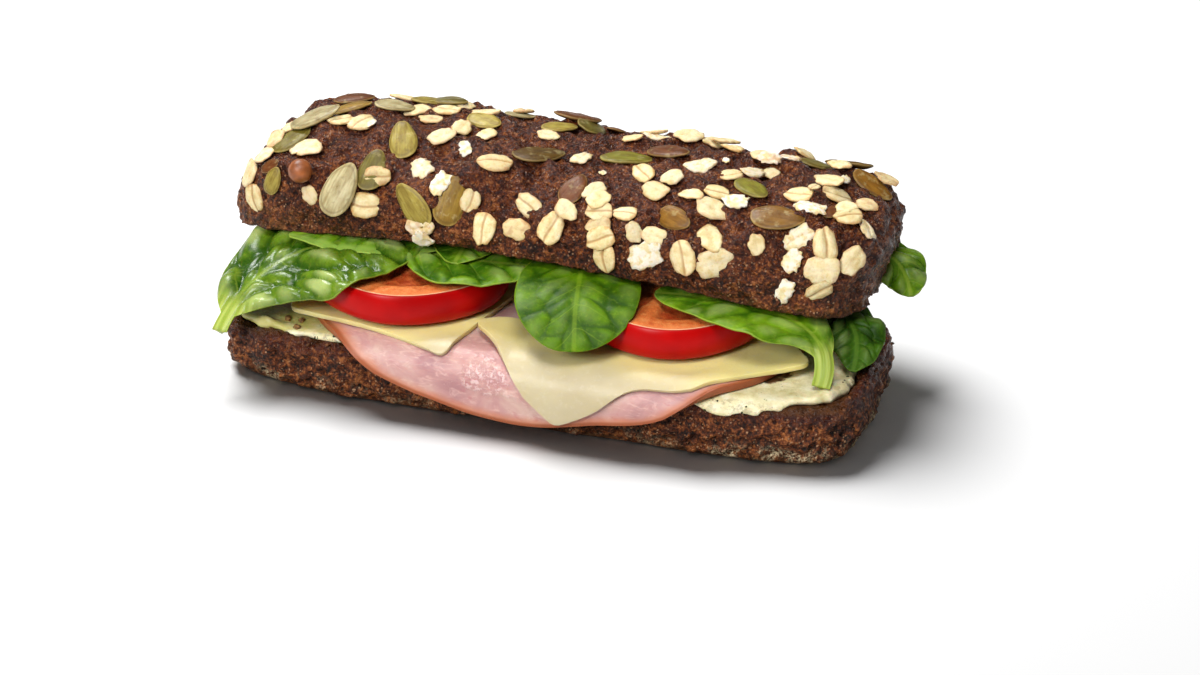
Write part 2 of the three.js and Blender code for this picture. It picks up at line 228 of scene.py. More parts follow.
# a material with short calls for the nodes that make it
class Finish:
    def __init__(self, name, **sockets):
        self.material = bpy.data.materials.new(name)
        self.material.use_nodes = True
        self.tree = self.material.node_tree
        self.shader = self.tree.nodes["Principled BSDF"]
        for key, value in sockets.items():
            self.shader.inputs[key.replace("_", " ")].default_value = value
        self.place = self.node("TexCoord").outputs["Object"]

    def node(self, kind, inputs=(), **settings):
        made = self.tree.nodes.new("ShaderNode" + kind)
        for key, value in settings.items():
            setattr(made, key, value)
        for key, value in dict(inputs).items():
            if isinstance(value, bpy.types.NodeSocket):
                self.tree.links.new(value, made.inputs[key])
            else:
                made.inputs[key].default_value = value
        return made

    # noise with spots of the given size in millimetres
    def noise(self, size, detail=3, roughness=0.5, stretch=None, distortion=0):
        place = self.place
        if stretch:
            place = self.node("Mapping", {"Vector": place, "Scale": stretch}).outputs[0]
        made = self.node("TexNoise", {
            "Vector": place, "Scale": 1 / (size * mm), "Detail": detail,
            "Roughness": roughness, "Distortion": distortion,
        })
        return made.outputs["Fac"]

    # cells of the given size: the distance to their middles, or a value of each cell's own
    def cells(self, size, output="Distance"):
        return self.node("TexVoronoi", {"Vector": self.place, "Scale": 1 / (size * mm)}).outputs[output]

    # round spots in some of the cells, from the span of distances and of the cells' own values
    def spots(self, size, distances, values):
        disc, chosen = self.span(self.cells(size), *distances), self.span(self.cells(size, "Color"), *values)
        return self.times(disc, chosen)

    def attribute(self, name, output="Fac"):
        return self.node("Attribute", attribute_name=name).outputs[output]

    def math(self, operation, a, b=0.0, c=0.0, clamp=False):
        return self.node("Math", {0: a, 1: b, 2: c}, operation=operation, use_clamp=clamp).outputs[0]

    def times(self, a, b, clamp=False):
        return self.math("MULTIPLY", a, b, clamp=clamp)

    # the value with noise of the given reach added, as much above as below
    def ragged(self, value, grain, reach):
        return self.math("MULTIPLY_ADD", self.math("SUBTRACT", grain, 0.5), reach, value)

    # 0 below low, 1 above high, smooth between
    def span(self, value, low, high):
        made = self.node("MapRange", {"Value": value, "From Min": low, "From Max": high},
                         interpolation_type="SMOOTHSTEP")
        return made.outputs["Result"]

    def ramp(self, value, *stops):
        made = self.node("ValToRGB", {"Fac": value})
        elements = made.color_ramp.elements
        for i, (position, code) in enumerate(stops):
            element = elements[i] if i < 2 else elements.new(position)
            element.position = position
            element.color = colour(code)
        return made.outputs["Color"]

    def mix(self, share, a, b, blend="MIX"):
        made = self.node("Mix", {0: share, 6: a, 7: b}, data_type="RGBA", blend_type=blend)
        return made.outputs[2]

    # lays a colour over the base where the mask is 1, as strongly as the share says
    def coat(self, base, code, mask, share=1.0):
        return self.mix(self.times(mask, share), base, colour(code))

    def bump(self, height, distance, strength=1.0, under=None):
        inputs = {"Height": height, "Distance": distance * mm, "Strength": strength}
        if under:
            inputs["Normal"] = under
        return self.node("Bump", inputs).outputs["Normal"]

    # joins the finished colour, relief and roughness to the shader
    def finished(self, base, relief, roughness=None):
        for socket, value in (("Base Color", base), ("Normal", relief), ("Roughness", roughness)):
            if value:
                self.tree.links.new(value, self.shader.inputs[socket])
        return self.material


bottomHalf = {
    "halfLength": 93,
    "halfWidth": 33.5,
    "height": 18,
    "shift": -0.9,
    "leftDip": 1.5,
    "dipSpan": (-40, -90),  # where the dip starts and where it is full
    "frontTaper": 0.065,
    "rimRadius": 4,
    "squareness": 5.2,  # of the outline's corners: 2 is an ellipse
}
topHalf = {
    "halfLength": 94.5,
    "halfWidth": 33,
    "leftShort": 1.4,
    "rightLong": 0.5,
    "setBack": 22,
    "shift": -6.4,
    "lift": 20.5,
    "tilt": 4,
    "roll": 1.2,
    "arch": 2.8,
    "leftSag": 7.4,
    "rightSag": 3,
    "bellyHeight": 8,
    "crown": 26,
    "crownLeft": -2,
    "crownRight": 2,
    "leftEnd": 35,
    "rightEnd": 22,
    "roundness": 2.4,
}


# even steps round the roll's outline, as shares of half its length and half its width
def loafOutline(count):
    length, width, power = (bottomHalf[key] for key in ("halfLength", "halfWidth", "squareness"))
    angle = np.linspace(0, 2 * math.pi, 6001)
    square = np.abs(np.cos(angle) / length) ** power + np.abs(np.sin(angle) / width) ** power
    radius = square ** (-1 / power)
    x, y = radius * np.cos(angle), radius * np.sin(angle)
    run = np.concatenate([[0], np.cumsum(np.hypot(np.diff(x), np.diff(y)))])
    even = np.linspace(0, run[-1], count, endpoint=False)
    return np.interp(even, run, x) / length, np.interp(even, run, y) / width


# a tube with each vertex's two shares of the outline and the two values of its ring in the profile
def addLoaf(name, around, profile):
    piece = addTube(name, around, len(profile))
    place, level = tubePlaces(piece, around)
    u, v = (share[place] for share in loafOutline(around))
    first, second = np.array(profile).T[:, level]
    return piece, u, v, first, second


# the crust's broad, low waves
def lump(x, y, z):
    return (0.35 * np.sin(x / 9 + z / 5) + 0.3 * np.sin(x / 5.3 - y / 7 + 1.3)
            + 0.25 * np.sin(y / 4.1 + z / 6))


def frontScale(x, y):
    return np.where(y < 0, 1 - bottomHalf["frontTaper"] * x / bottomHalf["halfLength"], 1)


def cutHeight(x):
    return bottomHalf["height"] - bottomHalf["leftDip"] * ease(*bottomHalf["dipSpan"], x)


# where shares of the outline come to lie on the bottom half, inset by some millimetres
def onLoaf(u, v, inset):
    x = u * (bottomHalf["halfLength"] - inset) + bottomHalf["shift"]
    return x, v * np.maximum(bottomHalf["halfWidth"] - inset, 0.3) * frontScale(x, v)


# 0 in the middle of the bottom half, 1 at the given inset from its outline
def loafReach(x, y, inset):
    along = np.abs(x - bottomHalf["shift"]) / (bottomHalf["halfLength"] - inset)
    return np.maximum(along, np.abs(y / frontScale(x, y)) / (bottomHalf["halfWidth"] - inset))


# 1 along the stretch of the front rim where the spread runs over
def spillStretch(x, y):
    start, full, fading, stop = spreadBed["spill"]
    return ease(start, full, x) * ease(stop, fading, x) * (y < 0)


bottomCrust = {
    "around": 200,
    "voxel": 0.75,
    # inset from the outline and share of the height, from the base up and over the rim
    "profile": [
        (34, 0), (20, 0), (8, 0), (4.4, 0), (3.0, 0.03), (1.8, 0.1), (0.8, 0.22), (0.2, 0.4), (0, 0.6),
        (0.2, 0.8), (0.6, 0.92), (1.4, 1), (3, 1), (4.6, 0.97), (8, 0.96), (20, 0.96), (34, 0.96),
    ],
    "rightCurl": 3.2,  # the crust stands up above the cut round the right end
    "curlAlong": (72, 90),
    "curlAcross": (-26, -4),
    "relief": [(7, 1.3, 1, "soft"), (3.2, 1.3, 2, "soft"), (1.6, 0.8, 3, "soft"), (2.6, 2.0, 4, "pits")],
    "calm": 0.85,  # how much of the relief goes under the spread that runs over
    # heights from the cut where the crumb and the glaze begin, and where they are full
    "crumbBand": (-2.2, -0.8),
    "glazeBand": (-6, -1.5),
    # heights above the floor where the flour and the pale foot begin, and where they are full
    "flourBand": (8, 1),
    "footBand": (6, 0),
    "flour": 1.3,
}


def makeBottomCrust():
    piece, u, v, inset, share = addLoaf("crustBottom", bottomCrust["around"], bottomCrust["profile"])
    x, y = onLoaf(u, v, inset)
    z = share * cutHeight(x)
    curl = bottomCrust["rightCurl"] * ease(*bottomCrust["curlAlong"], x) * ease(*bottomCrust["curlAcross"], y)
    z = z + curl * ease(6, 1.5, inset) * ease(0.75, 1, share)
    out = 1 + lump(x, y, z) / np.maximum(np.hypot(x, y), 8) * ease(20, 3, inset)
    setPoints(piece, np.stack([x * out, y * out, z], 1))
    evenSkin(piece, bottomCrust["voxel"], 2)
    x, y, z = points(piece).T
    calm = bottomCrust["calm"] * spillStretch(x, y) * ease(-5, -2.5, z - cutHeight(x))
    roughen(piece, bottomCrust["relief"], ease(0.2, 2.5, z) * (1 - calm))
    xyz = points(piece)
    xyz[:, 2] = np.maximum(xyz[:, 2], 0)
    setPoints(piece, xyz)
    x, y, z = xyz.T
    above = z - cutHeight(x)
    attribute(piece, "crumb", ease(*bottomCrust["crumbBand"], above) * ease(1.01, 0.96, loafReach(x, y, 1.5)))
    attribute(piece, "glaze", ease(*bottomCrust["glazeBand"], above))
    ends = np.maximum(ease(40, 70, x), 0.7 * ease(-50, -80, x)) + 0.25
    attribute(piece, "flour", ease(*bottomCrust["flourBand"], z) * ends * bottomCrust["flour"])
    attribute(piece, "lowEdge", ease(*bottomCrust["footBand"], z))
    return piece


topCrust = {
    "around": 220,
    "voxel": 0.7,
    # share of the belly's height and inset from the outline, from the middle of the cut out and up
    "belly": [
        (0, 32.6), (0, 24), (0, 16), (0, 9), (0, 4), (0, 1.5), (0.06, 0.7), (0.3, 0.4), (0.6, 0.2), (1, 0),
    ],
    # degrees up the dome above the belly
    "dome": [9, 18, 26, 34, 41, 48, 54, 60, 65, 70, 74, 78, 82, 85, 87, 89],
    "broad": [(13, 2.2, 5, "soft"), (6.5, 2.4, 6, "soft"), (5.5, 1.4, 12, "blobs")],
    "fine": [(2.6, 0.8, 7, "soft"), (1.3, 0.5, 8, "soft"), (3.6, 2.0, 9, "pits")],
    "rightFoot": -1.7,  # the right end draws in towards the cut
    # heights from the cut where the broad relief, the glaze and the pale foot begin, and where full
    "broadBand": (6, 18),
    "glazeBand": (4, 20),
    "footBand": (3.5, 0.3),
}


def lidMatrix():
    return (Matrix.Translation((topHalf["shift"], topHalf["setBack"] - bottomHalf["halfWidth"],
                                bottomHalf["height"] + topHalf["lift"]))
            @ Matrix.Rotation(math.radians(-topHalf["tilt"]), 4, "X")
            @ Matrix.Rotation(math.radians(topHalf["roll"]), 4, "Y"))


# from the lid's own frame to the roll's
def intoLid(xyz):
    turn = np.array(lidMatrix())
    return xyz @ turn[:3, :3].T + turn[:3, 3]


# rise and inset of each ring, from the middle of the cut out, round the belly and up
def topProfile():
    belly = topHalf["bellyHeight"] / topHalf["crown"]
    rings = [(share * belly, inset) for share, inset in topCrust["belly"]]
    for angle in topCrust["dome"]:
        rings.append((belly + (1 - belly) * math.sin(math.radians(angle)), 0))
    return rings


def makeTopCrust():
    piece, u, v, rise, inset = addLoaf("crustTop", topCrust["around"], topProfile())
    t = topHalf
    dome = np.maximum((rise * t["crown"] - t["bellyHeight"]) / (t["crown"] - t["bellyHeight"]), 0)
    shrink = 1 - (1 - dome ** t["roundness"]) ** (1 / t["roundness"])
    left = t["halfLength"] - t["leftShort"] - t["leftEnd"] * (1 - np.sqrt(1 - rise * rise)) - inset
    foot = topCrust["rightFoot"] * ease(0.6, 0, rise)
    right = t["halfLength"] + t["rightLong"] + foot - t["rightEnd"] * shrink - inset
    width = t["halfWidth"] * (1 - shrink) - inset
    x = u * np.where(u < 0, left, right)
    y = v * width
    along = x / t["halfLength"]
    swell = np.where(along < 0, t["crownLeft"], t["crownRight"]) * along ** 2
    sag = np.where(along < 0, t["leftSag"], t["rightSag"]) * along ** 2
    fade = 1 - np.minimum(rise * t["crown"] / t["bellyHeight"], 1)
    z = rise * (t["crown"] + swell) + fade * (t["arch"] * (1 - along ** 2) - sag)
    bump = np.where(rise > 0, 1.3 * lump(x, y * 1.4, z * 1.2), 0)
    out = 1 + bump * np.minimum(width / t["halfWidth"], 1) / np.sqrt(x ** 2 + y ** 2 + 1)
    setPoints(piece, np.stack([x * out, y * out + t["halfWidth"], z + bump * dome * 0.5], 1))
    evenSkin(piece, topCrust["voxel"], 2)
    z, facing = points(piece)[:, 2], normalsOf(piece)[:, 2]
    under = ease(-0.4, -0.8, facing)
    roughen(piece, topCrust["broad"], (1 - under) * (0.4 + 0.6 * ease(*topCrust["broadBand"], z)))
    roughen(piece, topCrust["fine"], 1 - 0.5 * under)
    attribute(piece, "crumb", under)
    attribute(piece, "glaze", 0.2 + 0.4 * ease(*topCrust["glazeBand"], z))
    attribute(piece, "lowEdge", (1 - under) * ease(*topCrust["footBand"], z))
    setPoints(piece, intoLid(points(piece)))
    return piece


def crustFinish():
    f = Finish("ryeCrust", Specular_IOR_Level=0.3)
    grain = f.noise(1.1, 4, 0.66)
    rough = f.math("MULTIPLY_ADD", f.math("SUBTRACT", f.noise(4.5, 4, 0.6), grain), 0.35, grain)
    base = f.ramp(rough, (0.41, "#150702"), (0.47, "#421d0a"), (0.54, "#6e3615"), (0.61, "#aa6837"))
    grit = f.spots(1.05, (0.42, 0.2), (0.62, 0.7))
    pits = f.spots(1.9, (0.42, 0.15), (0.55, 0.65))
    base = f.coat(base, "#a8714a", grit, 0.6)
    # painted shade: the pits are painted near-black, as the shade in the little hollows
    base = f.coat(base, "#120502", pits, 0.9)
    base = f.coat(base, "#c79a74", f.spots(0.8, (0.45, 0.25), (0.72, 0.78)), 0.7)
    glaze = f.attribute("glaze")
    base = f.coat(base, "#401611", glaze, 0.6)
    low = f.times(f.attribute("lowEdge"), f.span(f.noise(2.4, 4, 0.6), 0.42, 0.62))
    base = f.coat(base, "#91602f", low, 0.4)
    patches = f.times(f.attribute("flour"), f.span(f.noise(7, 3), 0.44, 0.58))
    flour = f.times(patches, f.span(f.noise(0.9, 4, 0.75), 0.47, 0.55), clamp=True)
    base = f.coat(base, "#e8d2a8", flour, 0.95)
    crumb = f.ramp(f.noise(1.6, 5, 0.65), (0.3, "#281005"), (0.7, "#643a19"))
    base = f.mix(f.attribute("crumb"), base, crumb)
    gloss = f.math("MULTIPLY_ADD", f.noise(2.2, 4, 0.6), -1.4, 1.2)
    gloss = f.math("MAXIMUM", f.math("MULTIPLY_ADD", glaze, -0.3, gloss), 0.22)
    height = f.math("ADD", rough, f.times(f.math("SUBTRACT", grit, pits), 0.22))
    return f.finished(base, f.bump(height, 2.0, 1.0, f.bump(f.noise(0.4, 3, 0.7), 0.35, 0.8)), gloss)


layers = {
    "gap": 0.3, "spread": 1.5, "heap": 1.0, "ham": 2.0, "cheese": 2.0, "tomato": 9.4,
    "bend": 6.5,  # radius of what bends down over the rim
    "clear": 0.4,  # between the rim and what hangs over it
}
hamHeight = layers["gap"] * 2 + layers["spread"]
cheeseHeight = hamHeight + layers["ham"] + layers["gap"]
tomatoHeight = bottomHalf["height"] + cheeseHeight + layers["cheese"] + layers["gap"]


# lays the flat place (x, q) over the bread: level on the cut, round the rim, then down
def drape(x, q, height):
    rim, bend = bottomHalf["rimRadius"], layers["bend"]
    flat = bottomHalf["halfWidth"] * frontScale(x, q) + layers["clear"] - rim
    over = np.abs(q) - flat
    angle = np.clip(over / bend, 0, math.pi / 2)
    drop = np.maximum(over - bend * math.pi / 2, 0)
    y = np.where(over <= 0, np.abs(q), flat + (rim + height) * np.sin(angle))
    z = np.where(over <= 0, height, (rim + height) * np.cos(angle) - rim - drop)
    return np.stack([x, np.sign(q) * y, cutHeight(x) + z], 1)


spreadBed = {
    "around": 220,
    "voxel": 0.8,
    # inset and share of the height, from under the middle out, over the edge and back
    "profile": [
        (40, 0), (20, 0), (6, 0), (1.2, 0), (0.3, 0.2), (0, 0.5), (0.3, 0.8), (1.2, 1), (4, 1), (12, 1),
        (24, 1), (40, 1),
    ],
    "inset": 0.9,  # bare crust left round it
    "scallop": 1.0,  # how far that wanders in and out
    "rightBare": 3.0,  # more of it at the right end
    "oilBand": (-50, -66),  # to the left of this it shines with oil
    "sunk": 0.4,  # how far it goes into the bread
    "added": 0.6,  # what that adds to its thickness
    "relief": [(7, 0.9, 3, "soft"), (3, 0.4, 5, "soft")],
    "spill": (44, 56, 84, 91),  # where it runs over the front rim: start, full, fading, end
    "spillOut": 3.5,
    "spillDown": 3.6,
    "lobe": (-68, -31, 12, 8, 2.1),  # place, half sizes and rise of the thick dollop
    "stain": (68, -15, 5.5, 2.6, -0.9),  # place, half sizes and turn of the bare patch by the ham
}


# 0 in the middle of the ham, 1 at its edge
def hamReach(x, q):
    return np.hypot((x - hamSlice["middle"][0]) / hamSlice["halfLength"],
                    (q - hamSlice["middle"][1]) / hamSlice["halfWidth"])


def makeSpread():
    piece, u, v, inset, share = addLoaf("spreadBed", spreadBed["around"], spreadBed["profile"])
    ripple = smoothNoise(u * 30, v * 12, 1.6, 4.2) + 0.6 * smoothNoise(u * 30, v * 12, 0.6, 8.1)
    inset = inset + spreadBed["inset"] + spreadBed["scallop"] * (0.6 + ripple)
    inset = inset + spreadBed["rightBare"] * ease(0.6, 1, u) * (1 + 0.6 * v)
    x, y = onLoaf(u, v, inset)
    bare = ease(1.14, 1.24, hamReach(x, y))
    lobeX, lobeY, lobeLong, lobeWide, lobeRise = spreadBed["lobe"]
    lobe = np.exp(-((x - lobeX) / lobeLong) ** 4 - ((y - lobeY) / lobeWide) ** 4) * bare
    thickness = layers["spread"] + spreadBed["added"] + layers["heap"] * bare + lobeRise * lobe
    setPoints(piece, np.stack([x, y, cutHeight(x) - spreadBed["sunk"] + share * thickness], 1))
    evenSkin(piece, spreadBed["voxel"], 7)
    x, y, _ = points(piece).T
    roughen(piece, spreadBed["relief"], ease(1.08, 1.2, hamReach(x, y)))
    xyz = points(piece)
    x, y, _ = xyz.T
    front = -bottomHalf["halfWidth"] * frontScale(x, y)
    near = ease(7, 1.5, y - front) * spillStretch(x, y)
    xyz[:, 1] -= spreadBed["spillOut"] * near * (0.9 + 0.25 * smoothNoise(x, 0 * x, 7, 2.2))
    xyz[:, 2] -= spreadBed["spillDown"] * near * near * (0.95 + 0.3 * smoothNoise(x, 0 * x, 5, 5.2))
    setPoints(piece, xyz)
    attribute(piece, "oil", ease(*spreadBed["oilBand"], x))
    stainX, stainY, long, wide, turn = spreadBed["stain"]
    a, b = x - stainX, y - stainY
    along, aside = a * math.cos(turn) - b * math.sin(turn), a * math.sin(turn) + b * math.cos(turn)
    attribute(piece, "stain", ease(1.5, 0.5, np.hypot(along / long, aside / wide)))
    attribute(piece, "rim", ease(0.93, 1, loafReach(x, y, 2)) * (1 - 0.75 * near))
    return piece


def spreadFinish():
    f = Finish("herbSpread", Specular_IOR_Level=0.5, Subsurface_Weight=0.2, Subsurface_Scale=0.002)
    base = f.ramp(f.noise(4, 5, 0.65), (0.3, "#b8ab76"), (0.52, "#d5cba0"), (0.72, "#e3dcc0"))
    oily, rim = f.attribute("oil"), f.attribute("rim")
    base = f.coat(base, "#bdb26a", oily, 0.45)
    base = f.coat(base, "#b3ad4e", f.times(oily, f.span(f.noise(7, 3), 0.34, 0.6)), 0.65)
    specks = f.times(f.span(f.cells(1.5), 0.22, 0.1), f.span(f.noise(5, 2), 0.48, 0.6))
    base = f.coat(base, "#6c6440", specks, 0.7)
    stain = f.ragged(f.attribute("stain"), f.noise(2.2, 4, 0.65), 1.6)
    crumb = f.ramp(f.noise(1.4, 4), (0.35, "#2a160c"), (0.65, "#6a4a2c"))
    base = f.mix(f.span(stain, 0.45, 0.85), base, crumb)
    base = f.coat(base, "#4c2f19", f.times(rim, f.span(f.noise(1.6, 4, 0.7), 0.47, 0.6)), 0.8)
    base = f.coat(base, "#e6dfc4", f.times(f.span(rim, 0.1, 0.5), oily), 0.6)
    return f.finished(base, f.bump(f.noise(1.1, 4, 0.65), 0.4, 0.6), f.math("MULTIPLY_ADD", oily, -0.2, 0.36))


# gives a sheet its thickness, with edges rounded where they turn by more than the angle
def thicken(piece, thickness, edge, segments, angle):
    modify(piece, "SOLIDIFY", thickness=thickness * mm, offset=1)
    modify(piece, "BEVEL", width=edge * mm, segments=segments, limit_method="ANGLE",
           angle_limit=math.radians(angle))


hamSlice = {
    "middle": (-0.3, -0.5),
    "halfLength": 71.3,
    "halfWidth": 49,
    "columns": 150,
    "rows": 110,
    "thickness": 2.0,
    "edge": 0.35,  # radius of its rounded edge
    "ripple": 0.35,
    "rimScale": 60,  # about the millimetres from its middle to its edge, in which the rim is measured
    "dent": (24, 13, 1.6),  # the front edge draws in here: place, reach, depth
    "wetAndGlints": (-8, -38, 8, 6),  # a moist, grainy patch with painted glints: place and half sizes
}


def makeHam():
    piece = addGrid("hamSlice", hamSlice["columns"], hamSlice["rows"])
    u, v = (points(piece) * mm)[:, :2].T
    x, q = u * np.sqrt(1 - v * v / 2), v * np.sqrt(1 - u * u / 2)
    reach, angle = np.hypot(x, q), np.arctan2(q, x)
    wobble = 1 + (0.006 * np.sin(5 * angle + 1) + 0.004 * np.sin(11 * angle)) * reach
    x = hamSlice["middle"][0] + hamSlice["halfLength"] * x * wobble
    q = hamSlice["middle"][1] + hamSlice["halfWidth"] * q * wobble
    place, wide, depth = hamSlice["dent"]
    q = q + depth * np.exp(-((x - place) / wide) ** 2) * reach ** 2 * (q < 0)
    height = hamHeight + hamSlice["ripple"] * smoothNoise(x, q, 9, 1) * ease(24, 32, np.abs(q))
    setPoints(piece, drape(x, q, height))
    # the brown rim is narrow on the right of the front and wide at the end beyond it
    broad = 1 - 0.45 * ease(22, 48, x) + 0.9 * ease(58, 69, x)
    attribute(piece, "rim", (1 - reach) * hamSlice["rimScale"] / broad)
    wetX, wetQ, wetLong, wetWide = hamSlice["wetAndGlints"]
    attribute(piece, "wetAndGlints", np.exp(-((x - wetX) / wetLong) ** 2 - ((q - wetQ) / wetWide) ** 2))
    thicken(piece, hamSlice["thickness"], hamSlice["edge"], 3, 55)
    return piece


def hamFinish():
    f = Finish("cookedHam", Specular_IOR_Level=0.35, Subsurface_Weight=0.2, Subsurface_Scale=0.002)
    meat = f.noise(13, 4, 0.55, distortion=0.6)
    meat = f.ramp(meat, (0.32, "#a57778"), (0.5, "#b98c87"), (0.68, "#c8a69a"))
    fibre = f.noise(2.4, 4, 0.6, stretch=(0.5, 1.6, 1), distortion=1.2)
    meat = f.coat(meat, "#e3c0b2", f.span(fibre, 0.5, 0.75), 0.45)
    veins = f.span(f.noise(3.5, 4, 0.6, stretch=(0.6, 1.8, 1), distortion=0.8), 0.56, 0.72)
    meat = f.coat(meat, "#b06c70", veins, 0.5)
    rim = f.attribute("rim")
    depth = f.math("SUBTRACT", rim, f.math("MULTIPLY_ADD", f.noise(5, 3), 2.4, -1.2))
    meat = f.coat(meat, "#be7147", f.span(depth, 4.6, 1.0), 0.75)
    meat = f.coat(meat, "#914820", f.span(rim, 1.9, 0.7), 0.85)
    wetAndGlints = f.span(f.ragged(f.attribute("wetAndGlints"), f.noise(4, 3), 1.4), 0.35, 0.7)
    dropsAndGlints = f.noise(1.3, 3, 0.6)
    # painted highlight: pale spots on the moist patch stand for its glints of light
    meat = f.coat(meat, "#e6cdc8", f.times(wetAndGlints, f.span(dropsAndGlints, 0.5, 0.62)), 0.5)
    gloss = f.math("MULTIPLY_ADD", wetAndGlints, -0.2, f.math("MULTIPLY_ADD", f.noise(4, 3), 0.3, 0.25))
    relief = f.bump(f.times(wetAndGlints, dropsAndGlints), 0.6, 0.6, f.bump(fibre, 0.35, 0.3))
    return f.finished(meat, f.bump(f.noise(0.8, 4, 0.65), 0.2, 0.45, relief), f.math("MAXIMUM", gloss, 0.15))


cheeseSlices = {
    "cheeseLeft": {
        "node": "cheese_left",
        "corners": [(-72, -26), (-20, -35), (-9.6, 20), (-60, 35)],
        "round": [4, 2.4, 3, 3],
    },
    "cheeseRight": {
        "node": "cheese_right",
        "corners": [(-17, -22), (12.6, -47), (50, -32.5), (77, -11), (47, 24)],
        "round": [2.4, 3.4, 9, 3, 3],
        "hollow": (33, 11, 4.2),  # the front edge draws in here: place, reach, depth
    },
}
cheeseCut = {
    "cell": 1.3,
    "thickness": 1.3,
    "edge": 0.6,
    "ripple": 0.25,
    "paintedLightBand": (-34, -23),  # back from the front edge, where the slice lies level and is painted lighter and yellower as painted light
    "spare": 3,  # of the sheet that the slice is cut from, beyond its corners
    "climb": (-2, -12),  # from right to left the right slice climbs on to the left one
    "underLeaf": (14.5, -19, 15.5),  # place and reach of the cheese that a leaf covers and shades, where it is painted lighter
}


def makeCheese(name):
    corners = [Vector((x, q, 0)) for x, q in cheeseSlices[name]["corners"]]
    low = np.array(corners).min(0) - cheeseCut["spare"]
    high = np.array(corners).max(0) + cheeseCut["spare"]
    width, depth = (high - low)[:2]
    columns, rows = (int(side / cheeseCut["cell"]) for side in (width, depth))
    piece = addGrid(name, columns, rows, width * mm, depth * mm)
    setPoints(piece, points(piece) + np.array(Vector((low + high) / 2)))
    # the slice's straight sides, each cut right through the sheet
    makeActive(piece)
    bpy.ops.object.mode_set(mode="EDIT")
    for a, b in zip(corners, corners[1:] + corners[:1]):
        side = (b - a).normalized()
        bpy.ops.mesh.select_all(action="SELECT")
        bpy.ops.mesh.bisect(plane_co=a * mm, plane_no=(side.y, -side.x, 0), clear_outer=True)
    bpy.ops.object.mode_set(mode="OBJECT")
    for corner, radius in zip(corners, cheeseSlices[name]["round"]):
        roundCorner(piece, corners, corner, radius)
    xyz = points(piece)
    x, q = xyz[:, 0], xyz[:, 1]
    edge = edgeDistance(corners, x, q)
    if "hollow" in cheeseSlices[name]:
        place, reach, depth = cheeseSlices[name]["hollow"]
        q = q + depth * np.exp(-((x - place) / reach) ** 2) * ease(22, 0, edge) * (q < 0)
    height = np.full(len(x), cheeseHeight)
    if name == "cheeseRight":
        height = height + (layers["cheese"] + layers["gap"]) * ease(*cheeseCut["climb"], x)
    setPoints(piece, drape(x, q, height + cheeseCut["ripple"] * smoothNoise(x, q, 12, 3)))
    attribute(piece, "edge", edge)
    attribute(piece, "level", ease(*cheeseCut["paintedLightBand"], q))
    attribute(piece, "paintedLight", cheeseCover(x, q))
    thicken(piece, cheeseCut["thickness"], cheeseCut["edge"], 4, 50)
    return piece


# how far places lie outside the rim of a tomato slice
def beyondTomato(shape, x, y):
    return np.hypot(x - shape["middle"][0], y - shape["middle"][1]) - shape["radius"]


# painted light: 1 where a tomato slice or leaf lies close above and shades the cheese, up to 0.7 towards the
# right end, 0 elsewhere in the open
def cheeseCover(x, q):
    leafX, leafQ, leafReach = cheeseCut["underLeaf"]
    paintedLight = np.maximum(ease(leafReach, leafReach - 8, np.hypot(x - leafX, q - leafQ)), 0.7 * ease(42, 60, x))
    for shape in tomatoSlices.values():
        paintedLight = np.maximum(paintedLight, 0.8 * ease(8, 0, beyondTomato(shape, x, q)))
    return paintedLight


# how far each flat place lies inside the slice's nearest side
def edgeDistance(corners, x, q):
    nearest = np.full(len(x), 1e9)
    for a, b in zip(corners, corners[1:] + corners[:1]):
        side = (b - a).normalized()
        nearest = np.minimum(nearest, -(x - a.x) * side.y + (q - a.y) * side.x)
    return nearest


# draws the sheet's corner in to an arc
def roundCorner(piece, corners, corner, radius):
    i = corners.index(corner)
    before, after = corners[i - 1], corners[(i + 1) % len(corners)]
    a, b = (before - corner).normalized(), (after - corner).normalized()
    half = a.angle(b) / 2
    inward = (a + b).normalized()
    centre = corner + inward * radius / math.sin(half)
    reach = radius / math.tan(half)
    xyz = points(piece)
    away = xyz[:, :2] - np.array(centre)[:2]
    distance = np.hypot(*away.T)
    near = (xyz[:, :2] - np.array(corner)[:2]) @ np.array(inward)[:2] < reach * math.cos(half)
    outside = near & (distance > radius)
    scale = radius / np.maximum(distance, 1e-6)
    xyz[outside, :2] = np.array(centre)[:2] + away[outside] * scale[outside, None]
    setPoints(piece, xyz)
    makeActive(piece)
    bpy.ops.object.mode_set(mode="EDIT")
    bpy.ops.mesh.select_all(action="SELECT")
    bpy.ops.mesh.remove_doubles(threshold=0.15 * mm)
    bpy.ops.object.mode_set(mode="OBJECT")


def cheeseFinish():
    f = Finish("slicedCheese", Specular_IOR_Level=0.4, Subsurface_Weight=0.5, Subsurface_Scale=0.006,
               Subsurface_Radius=(1, 0.8, 0.35))
    base = f.ramp(f.noise(16, 3), (0.3, "#b8a885"), (0.7, "#c3b491"))
    base = f.coat(base, "#b5a57a", f.span(f.attribute("edge"), 2.2, 0), 0.3)
    # painted light: the level part is painted lighter and yellower than the front that bends down
    base = f.coat(base, "#d3be7c", f.attribute("level"))
    # painted light: the cheese is painted lighter and yellower where the tomato slices and a leaf shade it,
    # and towards the right end
    base = f.coat(base, "#ecd88c", f.attribute("paintedLight"))
    base = f.coat(base, "#cfc3a8", f.span(f.noise(1.6, 3, 0.6), 0.52, 0.72), 0.25)
    wrinkles = f.bump(f.noise(2.6, 3, 0.55, stretch=(1, 0.45, 1), distortion=0.5), 0.45, 0.3)
    relief = f.bump(f.noise(0.9, 3, 0.6), 0.12, 0.5, wrinkles)
    return f.finished(base, relief, f.math("MULTIPLY_ADD", f.noise(6, 3), 0.3, 0.28))


